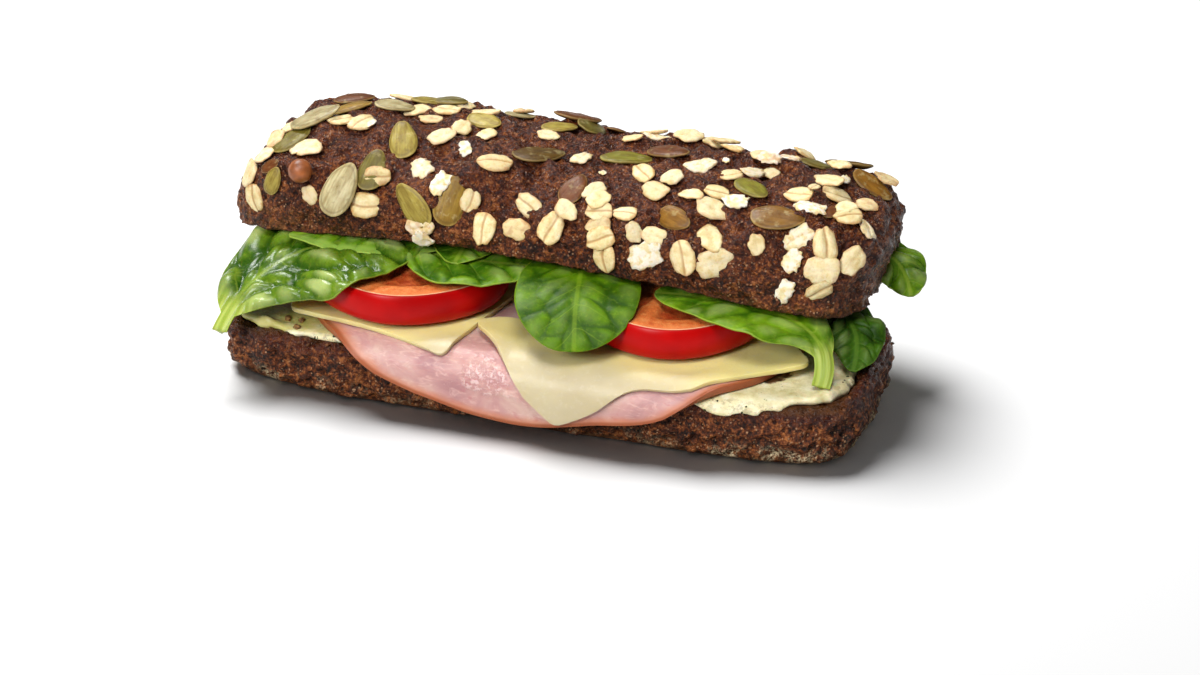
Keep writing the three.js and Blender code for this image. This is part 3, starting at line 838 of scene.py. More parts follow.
tomatoSlices = {
    "tomatoLeft": {"node": "tomato_left", "middle": (-43, -4.2), "radius": 28.2, "turn": 10},
    "tomatoRight": {"node": "tomato_right", "middle": (33.2, 2), "radius": 27.6, "turn": 75},
}
tomatoCut = {
    "around": 168,
    # share of the radius and of the height, over the base, up the skin and over the cut
    "side": [
        (0.02, 0), (0.4, 0), (0.8, 0), (0.915, 0), (0.94, 0.012), (0.962, 0.05), (0.98, 0.13), (0.993, 0.25),
        (1, 0.4), (0.997, 0.56), (0.99, 0.7), (0.978, 0.84), (0.966, 0.93), (0.957, 0.975), (0.948, 0.997),
        (0.94, 1.0), (0.93, 0.99),
    ],
    "cut": (0.91, 0.01),  # share of the radius, from the first ring of the cut face to the last
    "cutRings": 34,
    "cutHeight": 0.985,
    "chambers": 5,
    "chamberTurn": 0.3,
    "chamberDepth": 1.2,
    "grain": 0.22,
}


# 1 in the seed chambers of the cut face, 0 in the flesh
def chamber(r, angle):
    share = (angle / (2 * math.pi) * tomatoCut["chambers"] + tomatoCut["chamberTurn"]) % 1
    across = 1 - np.abs(2 * share - 1)
    return ease(0.18, 0.4, across) * ease(0.3, 0.42, r) * ease(0.76, 0.64, r)


def makeTomato(name):
    shape, around = tomatoSlices[name], tomatoCut["around"]
    inner = np.linspace(*tomatoCut["cut"], tomatoCut["cutRings"])
    rings = tomatoCut["side"] + [(r, tomatoCut["cutHeight"]) for r in inner]
    piece = addTube(name, around, len(rings))
    place, level = tubePlaces(piece, around)
    r, share = np.array(rings).T[:, level]
    angle = place / around * 2 * math.pi
    turned = angle + math.radians(shape["turn"])
    wobble = 1 + 0.02 * np.cos(2 * turned) + 0.012 * np.cos(5 * turned)
    x = shape["middle"][0] + r * shape["radius"] * wobble * np.cos(angle)
    y = shape["middle"][1] + r * shape["radius"] * wobble * np.sin(angle)
    face = share > 0.98
    hollow = chamber(r, turned) * face
    grain = tomatoCut["grain"] * smoothNoise(x, y, 2.4, 2) * face * ease(0.94, 0.88, r)
    z = tomatoHeight + share * layers["tomato"] + grain - hollow * tomatoCut["chamberDepth"]
    setPoints(piece, np.stack([x, y, z], 1))
    attribute(piece, "reach", r)
    attribute(piece, "cut", face)
    attribute(piece, "gel", hollow)
    outward(piece)
    return piece


def tomatoFinish():
    f = Finish("tomato", Specular_IOR_Level=0.14, Subsurface_Weight=0.1, Subsurface_Scale=0.002)
    reach, cut = f.attribute("reach"), f.attribute("cut")
    skin = f.ramp(f.noise(13, 3), (0.3, "#970203"), (0.7, "#b90605"))
    flesh = f.ramp(f.noise(2.4, 5, 0.65), (0.3, "#b04a1c"), (0.5, "#c96c34"), (0.7, "#d88a4e"))
    flesh = f.coat(flesh, "#d9763f", f.span(reach, 0.84, 0.92), 0.6)
    flesh = f.coat(flesh, "#e2b086", f.span(reach, 0.925, 0.938))
    flesh = f.mix(f.span(reach, 0.943, 0.955), flesh, skin)
    flesh = f.mix(f.attribute("gel"), flesh, f.ramp(f.noise(2, 3), (0.3, "#8f3012"), (0.7, "#b9592a")))
    gloss = f.math("MULTIPLY_ADD", cut, 0.1, f.math("MULTIPLY_ADD", f.noise(9, 2), 0.12, 0.26))
    return f.finished(f.mix(cut, skin, flesh), f.bump(f.times(f.noise(0.8, 4, 0.65), cut), 0.45, 0.9), gloss)


leafShape = {
    "columns": 64,
    "rows": 90,
    "thickness": 0.45,
    "tip": 0.8,  # half the least width
}
# what a leaf has where its own lines say nothing else
plainLeaf = {
    "droop": 0, "stem": 0, "stalk": 1.7, "taper": 0, "round": 0.6, "fold": 0, "lean": 1, "finish": "bright",
}
# rib: the start, pull and end of its middle line; width: half the blade's; cup and droop: how its sides
# bend; wave: height and number of the rim's waves; veins: millimetres between side veins; quilt: how high
# it swells between them
leaves = {
    "leaf1": {
        "rib": [(-38, 4, 36.2), (-83, -13, 40.5), (-85.5, -41, 20)], "width": 27.5, "cup": -0.3, "droop": -8,
        "wave": (0.8, 3), "stem": 0.08, "taper": 0.39, "stalk": 2.3, "veins": 9, "lean": -1, "quilt": 3.4,
        "finish": "waxy",
    },
    "leaf2": {
        "rib": [(-30, -2, 37.8), (-54, 0, 39.4), (-77, -11, 37)], "width": 11.5, "cup": -2.2,
        "wave": (0.9, 2), "fold": 3.6, "veins": 8, "quilt": 0.6,
    },
    "leaf3": {
        "rib": [(-41, -6, 35.8), (-24, -10, 37), (1, -5, 36.8)], "width": 14.5, "cup": -0.6,
        "wave": (0.3, 3), "veins": 8, "quilt": 2.1,
    },
    "leaf4": {
        "rib": [(-28, 10, 38.6), (-27, 0, 38.6), (-26, -13, 37.6)], "width": 10, "cup": 0.4,
        "wave": (0.2, 2), "veins": 6, "quilt": 0.9,
    },
    "leaf5": {
        "rib": [(6, 7, 38.6), (14, -27, 41.5), (17, -34.5, 28.4)], "width": 17.2, "cup": -0.6,
        "wave": (0.4, 2), "round": 0.42, "veins": 8, "quilt": 0.8, "finish": "deep",
    },
    "leaf6": {
        "rib": [(31, -8, 35.7), (84, 0, 38.2), (82, -20, 22)], "width": 15, "cup": -0.2, "droop": -7,
        "wave": (0.3, 4), "stem": 0.2, "taper": 0.5, "stalk": 2.6, "veins": 9, "lean": -1, "quilt": 1.1,
    },
    "leaf7": {
        "rib": [(73, 11, 30), (88, 6, 31), (88, -9.5, 22.5)], "width": 9, "cup": -1.2,
        "wave": (1.3, 4), "veins": 5, "quilt": 2.2, "finish": "shaded",
    },
    "leaf8": {
        "rib": [(72, 32, 36), (88, 38, 41), (94, 28, 28)], "width": 11.5, "cup": -1.6,
        "wave": (0.9, 3), "veins": 6, "quilt": 2.6,
    },
    "leaf9": {
        "rib": [(-58, 24, 35.2), (-66, 46, 34.4), (-74, 56, 27)], "width": 14, "cup": -1,
        "wave": (0.6, 3), "veins": 7, "quilt": 0.7,
    },
    "leaf10": {
        "rib": [(-4, 26, 36), (-2, 50, 34), (2, 60, 27)], "width": 15, "cup": -1,
        "wave": (0.5, 3), "veins": 7.5, "quilt": 0.7, "finish": "deep",
    },
    "leaf11": {
        "rib": [(44, 24, 35.2), (50, 46, 32.5), (58, 57, 26)], "width": 12, "cup": -1,
        "wave": (0.5, 3), "veins": 7, "quilt": 0.7, "finish": "deep",
    },
}


# swollen bays between the side veins, higher in their middles: 0 at the seams, 1 at the tops
def bays(phase, aside, side, long, seed):
    tops = []
    for a, b, c in zip(phase, np.abs(aside) * 1.28 / long, side):
        near = noise.voronoi(Vector((a + 5.3 * c, b + 7.1 * c, seed)))[0]
        dome = max(1 - (near[0] / 0.85) ** 2, 0)
        tops.append(0.65 * dome + 0.35 * (1 - math.exp(-5 * (near[1] - near[0]))))
    return np.array(tops)


# keeps a leaf just above the tomato slices it lies on
def onSlices(xyz):
    xyz = xyz.copy()
    for shape in tomatoSlices.values():
        beyond = beyondTomato(shape, xyz[:, 0], xyz[:, 1])
        floor = tomatoHeight + layers["tomato"] + 0.6 - 7 * ease(-1.5, 2.5, beyond)
        xyz[:, 2] = np.where(beyond < 2.5, np.maximum(xyz[:, 2], floor), xyz[:, 2])
    return xyz


# the place at each share t of the way along a leaf's middle rib
def alongRib(rib, t):
    a, b, c = (np.array(p, float) for p in rib)
    s, w = t[:, None], 1 - t[:, None]
    return w * w * a + 2 * w * s * b + s * s * c


# the level way across the rib at t, and the way up from the leaf
def ribFrame(rib, t):
    a, b, c = (np.array(p, float) for p in rib)
    along = 2 * (1 - t[:, None]) * (b - a) + 2 * t[:, None] * (c - b)
    along /= np.linalg.norm(along, axis=1)[:, None]
    across = np.stack([-along[:, 1], along[:, 0], 0 * t], 1)
    across /= np.linalg.norm(across, axis=1)[:, None]
    return across, np.cross(along, across)


# half the leaf's width at each share of the blade, which goes over into its stalk
def halfWidth(leaf, blade):
    half = leaf["width"] * np.sin(math.pi * blade ** 0.85) ** leaf["round"]
    half = half * (1 - leaf["taper"] * ease(0.45, 1.04, blade))
    stalk = leaf["stalk"] if leaf["stem"] else leafShape["tip"]
    return np.where(blade > 0.5, np.hypot(half, stalk), np.maximum(half, leafShape["tip"]))


def makeLeaf(name):
    leaf = {**plainLeaf, **leaves[name]}
    piece = addGrid(name, leafShape["columns"], leafShape["rows"])
    v, t = (points(piece) * mm)[:, :2].T
    t = (t + 1) / 2
    across, normal = ribFrame(leaf["rib"], t)
    blade = np.minimum(t / (1 - leaf["stem"]), 1)
    half = halfWidth(leaf, blade)
    full = half / leaf["width"]
    waves, number = leaf["wave"]
    ripple = waves * np.sin(2 * math.pi * number * t + 1.5 * v) * v * v * full
    bend = (leaf["cup"] + leaf["droop"] * ease(0.35, 0.9, t)) * v * v * full * full
    # the blade swells between its side veins
    steps = np.linspace(0, 1, 200)
    run = np.cumsum(np.linalg.norm(np.diff(alongRib(leaf["rib"], steps), axis=0), axis=1))
    length = np.interp(t, steps, np.concatenate([[0], run]))
    aside = v * half
    phase = (leaf["lean"] * length - 0.8 * np.abs(aside) + 0.008 * aside ** 2) / leaf["veins"]
    phase = phase + 0.22 * np.tanh(6 * v)
    seed = sum(map(ord, name))
    drift = smoothNoise(length, aside, 9, seed)
    swell = np.abs(np.sin(math.pi * (phase + 0.12 * drift))) ** 0.8
    tops = bays(phase + 0.2 * drift, aside, np.sign(v), leaf["veins"] * 1.7, seed)
    away = ease(0.3, 3.2, np.abs(aside)) * ease(1.04, 0.86, np.abs(v)) * ease(0.12, 0.4, full)
    pucker = (0.25 * swell + 1.05 * tops) * away + 0.15 * smoothNoise(length, aside, 4, seed + 3) * away
    edge = 0.35 * smoothNoise(length, aside, 5, seed + 9) * ease(0.7, 1, np.abs(v)) * full
    height = bend + ripple + leaf["quilt"] * (pucker - 0.5 * away) + edge
    flat = onSlices(alongRib(leaf["rib"], t) + across * aside[:, None] + normal * height[:, None])
    setPoints(piece, flat)
    stem = (leaf["stem"] > 0) * ease(0.42, 0.12, full) * (blade > 0.5)
    fold = leaf["fold"]  # how wide the front edge turns up to show its pale underside
    # two of these marks carry painted light: dark green in the seams between the bays as painted shade, pale
    # green on their tops as painted sheen
    marks = {
        "phase": phase, "aside": aside, "margin": half - np.abs(aside), "stem": stem,
        "hollow": ease(0.56, 0.2, tops) * away, "paintedSheen": ease(0.6, 0.95, tops) * away,
        "fold": ease(fold, 0.5 * fold, half - aside) if fold else 0 * t,
    }
    for mark, values in marks.items():
        attribute(piece, mark, values)
    rod = 0.9 * np.exp(-(aside / 1.1) ** 2) * (0.25 + 0.75 * t if leaf["lean"] < 0 else 1 - 0.8 * t)
    rod = rod * (1 + 0.8 * ease(0.35, 0.1, full) * (leaf["stem"] > 0))
    modify(piece, "SOLIDIFY", thickness=leafShape["thickness"] * mm, offset=0)
    # the rib stands out below and, less, above
    xyz, count = points(piece), len(flat)
    for part in (slice(0, count), slice(count, None)):
        side = np.sign(((xyz[part] - flat) * normal).sum(1))
        xyz[part] += normal * (side * rod * np.where(side < 0, 1, 0.25))[:, None]
    setPoints(piece, xyz)
    return piece


def leafFinish(name, dark, light, glow, sheen=0.1):
    f = Finish(name, Specular_IOR_Level=0.07 + 0.42 * sheen, Subsurface_Weight=0.1, Subsurface_Scale=0.001)
    base = f.ramp(f.noise(8, 4, 0.6), (0.3, dark), (0.7, light))
    # painted shade: the seams between the bays are painted dark green
    base = f.coat(base, dark, f.attribute("hollow"), 0.9)
    # painted sheen: the tops of the bays are painted pale, as much as the sheen says
    base = f.coat(base, "#bac77c", f.attribute("paintedSheen"), sheen)
    base = f.coat(base, glow, f.span(f.noise(1.4, 4, 0.6), 0.5, 0.75), 0.22)
    line = f.math("PINGPONG", f.math("MULTIPLY_ADD", f.noise(4, 2), 0.1, f.attribute("phase")), 0.5)
    aside, stem = f.attribute("aside"), f.attribute("stem")
    away = f.math("ABSOLUTE", aside)
    vein = f.times(f.span(line, 0.045, 0.0), f.span(away, 14, 2))
    base = f.coat(base, glow, vein, 0.25)
    base = f.coat(base, glow, f.span(away, 0.9, 0.3), 0.28)
    ridge = f.span(f.math("PINGPONG", f.times(aside, 0.42), 0.5), 0.1, 0.4)
    base = f.mix(f.times(stem, 0.9), base, f.mix(ridge, colour("#8b9c3a"), colour("#a9b657")))
    base = f.coat(base, "#86a544", f.attribute("fold"), 0.75)
    # painted highlight: a pale line along the very edge of the blade
    base = f.coat(base, glow, f.span(f.attribute("margin"), 0.4, 0.1), 0.4)
    relief = f.bump(vein, 0.5, -0.6, f.bump(f.times(ridge, stem), 0.4, 0.7))
    relief = f.bump(f.noise(0.5, 3, 0.6), 0.12, 0.5, relief)
    return f.finished(base, relief, f.math("MULTIPLY_ADD", f.noise(3.5, 3), 0.3, 0.34 - 0.36 * sheen))


oats = {
    "size": (9.2, 6.7, 1.15),
    "segments": 20,
    "rings": 13,
    "variants": 5,
    "kinds": {
        "split": {"seed": 1, "rough": 0.18, "notch": 0.5, "crease": 0.5, "lumps": 0.22, "pale": 0.0},
        "plain": {"seed": 2, "rough": 0.22, "notch": 0.5, "crease": 0.1, "lumps": 0.26, "pale": 0.15},
        "ragged": {"seed": 3, "rough": 0.32, "notch": 0.42, "crease": 0.25, "lumps": 0.4, "pale": 0.5},
        "broken": {"seed": 4, "rough": 0.42, "notch": 0.42, "crease": 0.0, "lumps": 0.6, "pale": 0.9},
    },
    "around": 3,  # the crust within this many millimetres sets how a flake lies
    "tilt": (0.16, 0.12),  # most turn at random about its length and its width, in radians
    "tone": (0.88, 1.06),
    "paleBy": 0.12,
    "onRise": 0.8,  # how far up the crust's higher parts it lies
    "lift": 0.3,  # and above that, as a share of its thickness
    "close": 5.5,  # a flake lies higher on what is closer than this
    "overFlake": 0.8,
    "overSeed": 1.2,
    "overMost": 1.8,
    # across and down the frame, turn in degrees, size, kind
    "seen": [
        (340, 122, 12, 0.95, "split"), (361, 124, 30, 1.05, "split"), (371, 128, 40, 0.5, "broken"),
        (418, 113, 12, 1, "plain"), (447, 112, -10, 0.95, "split"), (403, 98, -3, 0.9, "plain"),
        (431, 122, -8, 0.8, "plain"), (461, 129, 35, 0.85, "plain"), (442, 137, 14, 0.95, "plain"),
        (465, 148, -62, 0.6, "broken"), (486, 135, 30, 0.8, "plain"), (486, 114, -12, 1.05, "plain"),
        (466, 106, 5, 0.7, "plain"), (523, 118, 70, 0.95, "split"), (308, 149, -2, 1.1, "plain"),
        (298, 154, 10, 0.4, "broken"), (311, 195, -58, 0.65, "plain"), (257, 198, -77, 1, "split"),
        (251, 174, 66, 0.95, "plain"), (268, 160, 55, 0.8, "plain"), (279, 143, 60, 0.8, "plain"),
        (290, 129, 55, 0.7, "plain"), (379, 178, 4, 0.92, "split"), (367, 206, -2, 1.08, "split"),
        (422, 169, -60, 0.95, "ragged"), (440, 186, 60, 0.8, "broken"), (472, 200, 72, 0.85, "split"),
        (494, 163, 3, 1.15, "split"), (529, 206, -45, 0.9, "split"), (484, 229, 76, 1.05, "split"),
        (517, 229, -12, 0.9, "plain"), (551, 228, 64, 1.05, "split"), (421, 227, 4, 0.95, "ragged"),
        (424, 236, -20, 0.7, "broken"), (548, 136, -8, 0.75, "plain"), (582, 159, 52, 0.9, "ragged"),
        (633, 139, -6, 0.8, "plain"), (656, 139, -12, 1.05, "ragged"), (689, 137, 3, 1.05, "plain"),
        (717, 137, -5, 0.85, "plain"), (725, 131, 10, 0.6, "split"), (738, 138, -32, 0.9, "split"),
        (725, 149, -4, 0.95, "plain"), (700, 168, 8, 1, "ragged"), (644, 174, -48, 0.88, "split"),
        (672, 178, 25, 0.75, "plain"), (655, 191, -35, 0.95, "plain"), (726, 161, 70, 0.3, "broken"),
        (732, 176, 12, 0.8, "split"), (752, 174, -4, 0.85, "ragged"), (771, 174, -8, 0.55, "plain"),
        (762, 156, -12, 0.8, "plain"), (770, 164, -4, 0.75, "broken"), (791, 159, -10, 0.7, "broken"),
        (804, 154, -14, 0.85, "plain"), (774, 152, -8, 0.6, "plain"), (594, 192, 28, 0.8, "plain"),
        (599, 201, 10, 0.8, "plain"), (600, 211, -4, 0.85, "split"), (567, 210, -48, 0.8, "plain"),
        (625, 214, -8, 0.78, "split"), (600, 226, 14, 0.8, "plain"), (603, 238, 14, 0.98, "split"),
        (605, 258, -84, 1, "split"), (634, 232, -72, 0.68, "plain"), (654, 237, -20, 0.8, "plain"),
        (646, 256, 20, 1.15, "broken"), (683, 257, -76, 1.12, "split"), (711, 240, -68, 1, "plain"),
        (715, 263, 14, 1.25, "plain"), (692, 195, -10, 0.8, "plain"), (712, 211, -25, 1.15, "plain"),
        (717, 193, -12, 0.8, "split"), (736, 202, -15, 0.8, "broken"), (757, 245, -80, 0.68, "plain"),
        (800, 196, -4, 0.95, "split"), (810, 208, -12, 0.95, "broken"), (837, 197, -25, 1.05, "split"),
        (829, 184, -14, 0.95, "plain"), (843, 182, 20, 0.45, "broken"), (867, 206, -10, 0.75, "plain"),
        (846, 211, 10, 0.7, "plain"), (847, 221, 4, 0.9, "split"), (867, 229, -72, 0.75, "ragged"),
        (814, 190, 30, 0.45, "split"), (840, 169, -22, 0.9, "plain"), (884, 183, -28, 0.8, "plain"),
        (799, 239, 28, 1, "ragged"), (793, 260, 60, 0.75, "broken"), (825, 244, -86, 1.05, "split"),
        (821, 270, -6, 1.15, "plain"), (852, 261, 55, 0.95, "plain"), (819, 289, 28, 0.9, "split"),
        (784, 291, 70, 0.75, "broken"), (658, 129, -6, 0.9, "plain"), (603, 175, 70, 0.3, "broken"),
    ],
    "unseen": 95,
    "unseenSize": (0.7, 1.1),
    "unseenKinds": ["split", "split", "plain", "plain", "ragged", "broken"],
    "apart": 8.5,
}
pumpkinSeeds = {
    "size": (15.5, 9.4, 2.0),
    "segments": 24,
    "rings": 16,
    "variants": 4,
    "around": 4,
    "tilt": (0.09, 0.06),
    "tone": (0.85, 1.15),
    "onRise": 0.85,
    "lift": 0.22,
    "seen": [
        (354, 100, 6, 0.8, "brown"), (317, 118, 24, 1.02, "grey"), (350, 109, 16, 0.85, "gold"),
        (395, 107, -10, 0.75, "grey"), (444, 98, -8, 1, "moss"), (432, 102, 0, 0.85, "olive"),
        (294, 142, 34, 0.85, "moss"), (403, 141, 94, 0.86, "olive"), (340, 190, 66, 1.05, "grey"),
        (373, 171, 72, 0.85, "moss"), (415, 205, 122, 0.95, "olive"), (451, 201, 76, 0.95, "gold"),
        (485, 123, -15, 0.72, "olive"), (273, 181, 72, 0.55, "olive"), (271, 166, 20, 0.45, "brown"),
        (539, 156, 4, 0.98, "umber"), (516, 108, -8, 0.6, "grey"), (560, 129, 5, 0.75, "olive"),
        (592, 129, 14, 0.82, "moss"), (578, 118, -6, 0.95, "brown"), (574, 190, 52, 0.72, "brown"),
        (627, 162, -3, 0.95, "green"), (669, 153, -8, 0.88, "brown"), (674, 219, -20, 0.7, "amber"),
        (752, 190, -32, 0.78, "green"), (778, 219, -4, 0.98, "amber"), (815, 168, -10, 0.75, "moss"),
        (850, 165, -12, 0.9, "umber"), (871, 189, -35, 0.85, "amber"), (832, 213, 20, 0.45, "brown"),
        (623, 123, 5, 0.55, "brown"),
    ],
    "unseen": 22,
    "unseenSize": (0.75, 1.05),
    "apart": 14,
    "tints": {
        "grey": "#b4a981", "olive": "#a39242", "moss": "#6e6424", "green": "#87822c", "gold": "#9a7a2e",
        "amber": "#855d1e", "brown": "#6b3c18", "umber": "#5c4312",
    },
}
roundSeed = {"spot": (303, 172), "turn": 30, "diameter": 6.8, "lift": 0.3, "around": 3}
# unseen toppings lie no lower on the top half than this, and not where its crust leans over more
unseenCrust = {"lowest": 7, "overhang": -0.05}


def outlineNoise(x, y, seed, amount, size=0.55):
    return 1 + amount * smoothNoise(x, y, size, seed)


# a ball whose poles lie along x
def addBall(name, segments, rings):
    deselect()
    bpy.ops.mesh.primitive_uv_sphere_add(segments=segments, ring_count=rings, radius=1)
    piece = named(name)
    piece.rotation_euler = (0, math.pi / 2, 0)
    bpy.ops.object.transform_apply()
    return piece


# a ball, with each vertex's place along it, its ring's radius, and its side and height on that ring
def addLens(name, segments, rings):
    piece = addBall(name, segments, rings)
    x, y, z = (points(piece) * mm).T
    ring = np.sqrt(np.maximum(1 - x * x, 1e-9))
    return piece, x, ring, y / ring, z / ring


def finishLens(piece, xyz, lie, out):
    setPoints(piece, np.stack(xyz, 1))
    vectorAttribute(piece, "lie", np.stack(lie, 1))
    attribute(piece, "out", out)
    outward(piece)
    return piece


def makeFlake(kind, variant):
    length, width, thickness = oats["size"]
    look = oats["kinds"][kind]
    piece, x, ring, side, up = addLens(kind + str(variant), oats["segments"], oats["rings"])
    side = np.sign(side) * np.abs(side) ** 1.35
    seed = variant * 3.7 + look["seed"]
    edge = outlineNoise(x, side * ring, seed, look["rough"], look["notch"])
    lieX = x * (1 - 0.04 * np.abs(x) ** 3)
    lieY = ring ** 0.9 * side
    out = np.minimum(np.hypot(lieX, lieY), 1)
    px = lieX * length / 2 * edge
    py = lieY * width / 2 * edge * (1 + 0.16 * x * math.sin(seed)) + 0.3 * math.sin(seed * 3) * lieX ** 2
    pz = np.sign(up) * np.minimum(np.abs(up) * 6, 1) * thickness / 2 * np.sqrt(np.maximum(1 - out ** 5, 0.02))
    wander = lieY - 0.08 * np.sin(2.5 * lieX + seed)
    crease, top = look["crease"], up > 0
    pz = pz - top * crease * np.exp(-(wander / 0.13) ** 2) * (1 - out ** 4)
    pz = pz + top * (crease * 0.5 + 0.12) * np.exp(-((np.abs(wander) - 0.36) / 0.22) ** 2) * (1 - out ** 2)
    pz = pz + look["lumps"] * smoothNoise(px, py, 1.5, seed + 9)
    pz = pz + 0.35 * math.cos(seed * 2) * lieX ** 2 - 0.3 * math.sin(seed) * lieY ** 2 + 0.2 * lieX * lieY
    return finishLens(piece, (px, py, pz), (lieX, wander, 0 * x + crease), out)


def makeSeedShape(variant):
    length, width, thickness = pumpkinSeeds["size"]
    piece, x, ring, side, up = addLens("seed" + str(variant), pumpkinSeeds["segments"], pumpkinSeeds["rings"])
    taper = 1 - 0.18 * x - 0.1 * np.maximum(x - 0.5, 0) * 2
    lieY = ring ** 0.95 * side
    out = np.minimum(np.hypot(x, lieY), 1)
    edge = outlineNoise(x, lieY, variant * 2.3, 0.07, 0.7)
    px = x * length / 2 * edge
    py = lieY * taper * width / 2 * edge
    body = np.sqrt(np.maximum(1 - (out / 0.93) ** 4, 0))
    lip = 0.14 * np.exp(-((out - 0.93) / 0.05) ** 2)
    pz = np.sign(up) * (0.2 + 0.8 * body + lip) * thickness / 2 * np.minimum(np.abs(up) * 5, 1)
    pz = pz + 0.3 * smoothNoise(px, py, 3.2, variant * 5.1) + 0.35 * math.sin(variant * 2.1) * lieY ** 2
    pz = pz + 0.3 * math.cos(variant * 1.7) * x * x
    return finishLens(piece, (px, py, pz), (x, lieY, 0 * x + 1), out)


# the crust's normal around a spot, and how far its higher parts stand up there
def seat(tree, spot, reach):
    near = tree.find_nearest_range(spot, reach)
    normal = sum((n for _, n, _, _ in near), Vector()).normalized()
    rises = sorted((place - spot).dot(normal) for place, _, _, _ in near)
    return normal, rises[int(len(rises) * 0.8)]


def basis(spot, normal, along):
    along = (along - normal * along.dot(normal)).normalized()
    turn = Matrix((along, normal.cross(along), normal)).transposed().to_4x4()
    return Matrix.Translation(spot) @ turn


# where the line of sight meets the crust, or the nearest place that does, with the long side turned as seen
def seenSeat(tree, across, down, turn, reach, tries=80):
    for step in range(tries):
        shift = (step + 1) // 2 * (1 if step % 2 else -1)
        inward = 0.5 * abs(shift) * (1 if across < frameSize[0] / 2 else -1)
        start, line = frameRay(across + inward, down + shift)
        spot = tree.ray_cast(start, line)[0]
        if spot is not None:
            break
    normal, rise = seat(tree, spot, reach)
    view = cameraMatrix().to_3x3()
    picture = view @ Vector((math.cos(math.radians(turn)), math.sin(math.radians(turn)), 0))
    slant = -picture.dot(normal) / min(line.dot(normal), -0.25)
    return spot, normal, rise, picture + line * max(min(slant, 1.4), -1.4)


# whether the camera sees the crust there, and not only at a glancing angle
def isSeen(tree, spot, normal):
    start = cameraMatrix().translation
    line = (spot - start).normalized()
    hit = tree.ray_cast(start, line)[0]
    return hit is not None and (hit - spot).length < 2 * mm and line.dot(normal) < -0.12


# even random spots on the crust where nothing was laid from the lists
def scatterUnseen(tree, piece, topping, taken, draw):
    xyz, normals = points(piece) * mm, normalsOf(piece)
    inverse = np.array(lidMatrix().inverted())
    height = (xyz @ inverse[:3, :3].T + inverse[:3, 3])[:, 2] / mm
    chosen = []
    for i in draw.permutation(len(xyz)):
        if len(chosen) == topping["unseen"]:
            break
        spot, normal = Vector(xyz[i]), Vector(normals[i])
        outside = height[i] < unseenCrust["lowest"] or normals[i, 2] < unseenCrust["overhang"]
        if outside or isSeen(tree, spot, normal):
            continue
        if all((spot - other).length >= topping["apart"] * mm for other in taken):
            chosen.append(spot)
            taken.append(spot)
    return chosen


def layCopy(shape, matrix, rgb):
    copy = shape.copy()
    copy.data = shape.data.copy()
    bpy.context.collection.objects.link(copy)
    copy.matrix_world = matrix
    tint(copy, rgb)
    return copy


def joinCopies(name, copies, shapes):
    deselect()
    for copy in copies:
        copy.select_set(True)
    bpy.context.view_layer.objects.active = copies[0]
    bpy.ops.object.join()
    piece = named(name)
    bpy.ops.object.transform_apply()
    for shape in shapes:
        bpy.data.objects.remove(shape)
    return piece


# where a topping stands on its seat, a little tilted at random
def standOn(topping, draw, spot, normal, rise, along, size, over=0):
    x, y = topping["tilt"]
    tilt = Matrix.Rotation(draw.uniform(-x, x), 4, "X") @ Matrix.Rotation(draw.uniform(-y, y), 4, "Y")
    lift = max(rise, 0) * topping["onRise"] + topping["size"][2] * topping["lift"] * size * mm + over
    return basis(spot + normal * lift, normal, along) @ tilt @ Matrix.Scale(size, 4)


def laySeeds(crust, tree, draw, taken):
    shapes = [makeSeedShape(i) for i in range(pumpkinSeeds["variants"])]
    copies = []

    def lay(spot, normal, rise, along, size, kind):
        matrix = standOn(pumpkinSeeds, draw, spot, normal, rise, along, size)
        rgb = rgbOf(pumpkinSeeds["tints"][kind]) * draw.uniform(*pumpkinSeeds["tone"])
        copies.append(layCopy(shapes[draw.integers(len(shapes))], matrix, rgb))

    for across, down, turn, size, kind in pumpkinSeeds["seen"]:
        spot, normal, rise, along = seenSeat(tree, across, down, turn, pumpkinSeeds["around"] * mm)
        lay(spot, normal, rise, along, size, kind)
        taken.append(spot)
    kinds = list(pumpkinSeeds["tints"])
    for spot in scatterUnseen(tree, crust, pumpkinSeeds, taken, draw):
        normal, rise = seat(tree, spot, pumpkinSeeds["around"] * mm)
        along, size = Vector(draw.normal(size=3)), draw.uniform(*pumpkinSeeds["unseenSize"])
        lay(spot, normal, rise, along, size, kinds[draw.integers(len(kinds))])
    return joinCopies("pumpkinSeeds", copies, shapes)


def layFlakes(crust, tree, draw, taken):
    shapes = {(kind, i): makeFlake(kind, i) for kind in oats["kinds"] for i in range(oats["variants"])}
    copies, laid, seeds = [], [], taken[:len(pumpkinSeeds["seen"])]

    def lay(spot, normal, rise, along, size, kind, over):
        matrix = standOn(oats, draw, spot, normal, rise, along, size, over)
        tone = draw.uniform(*oats["tone"])
        pale = oats["kinds"][kind]["pale"] + draw.uniform(-oats["paleBy"], oats["paleBy"])
        rgb = (tone, min(max(pale, 0), 1), draw.uniform(0, 1))
        copies.append(layCopy(shapes[(kind, int(draw.integers(oats["variants"])))], matrix, rgb))

    for across, down, turn, size, kind in oats["seen"]:
        spot, normal, rise, along = seenSeat(tree, across, down, turn, oats["around"] * mm)
        over = oats["overFlake"] * sum((other - spot).length < oats["close"] * mm for other in laid)
        over += oats["overSeed"] * sum((other - spot).length < oats["close"] * mm for other in seeds)
        lay(spot, normal, rise, along, size, kind, min(over, oats["overMost"]) * mm)
        laid.append(spot)
    taken.extend(laid)
    for spot in scatterUnseen(tree, crust, oats, taken, draw):
        normal, rise = seat(tree, spot, oats["around"] * mm)
        kind = oats["unseenKinds"][draw.integers(len(oats["unseenKinds"]))]
        along, size = Vector(draw.normal(size=3)), draw.uniform(*oats["unseenSize"])
        lay(spot, normal, rise, along, size, kind, 0)
    return joinCopies("oatFlakes", copies, list(shapes.values()))


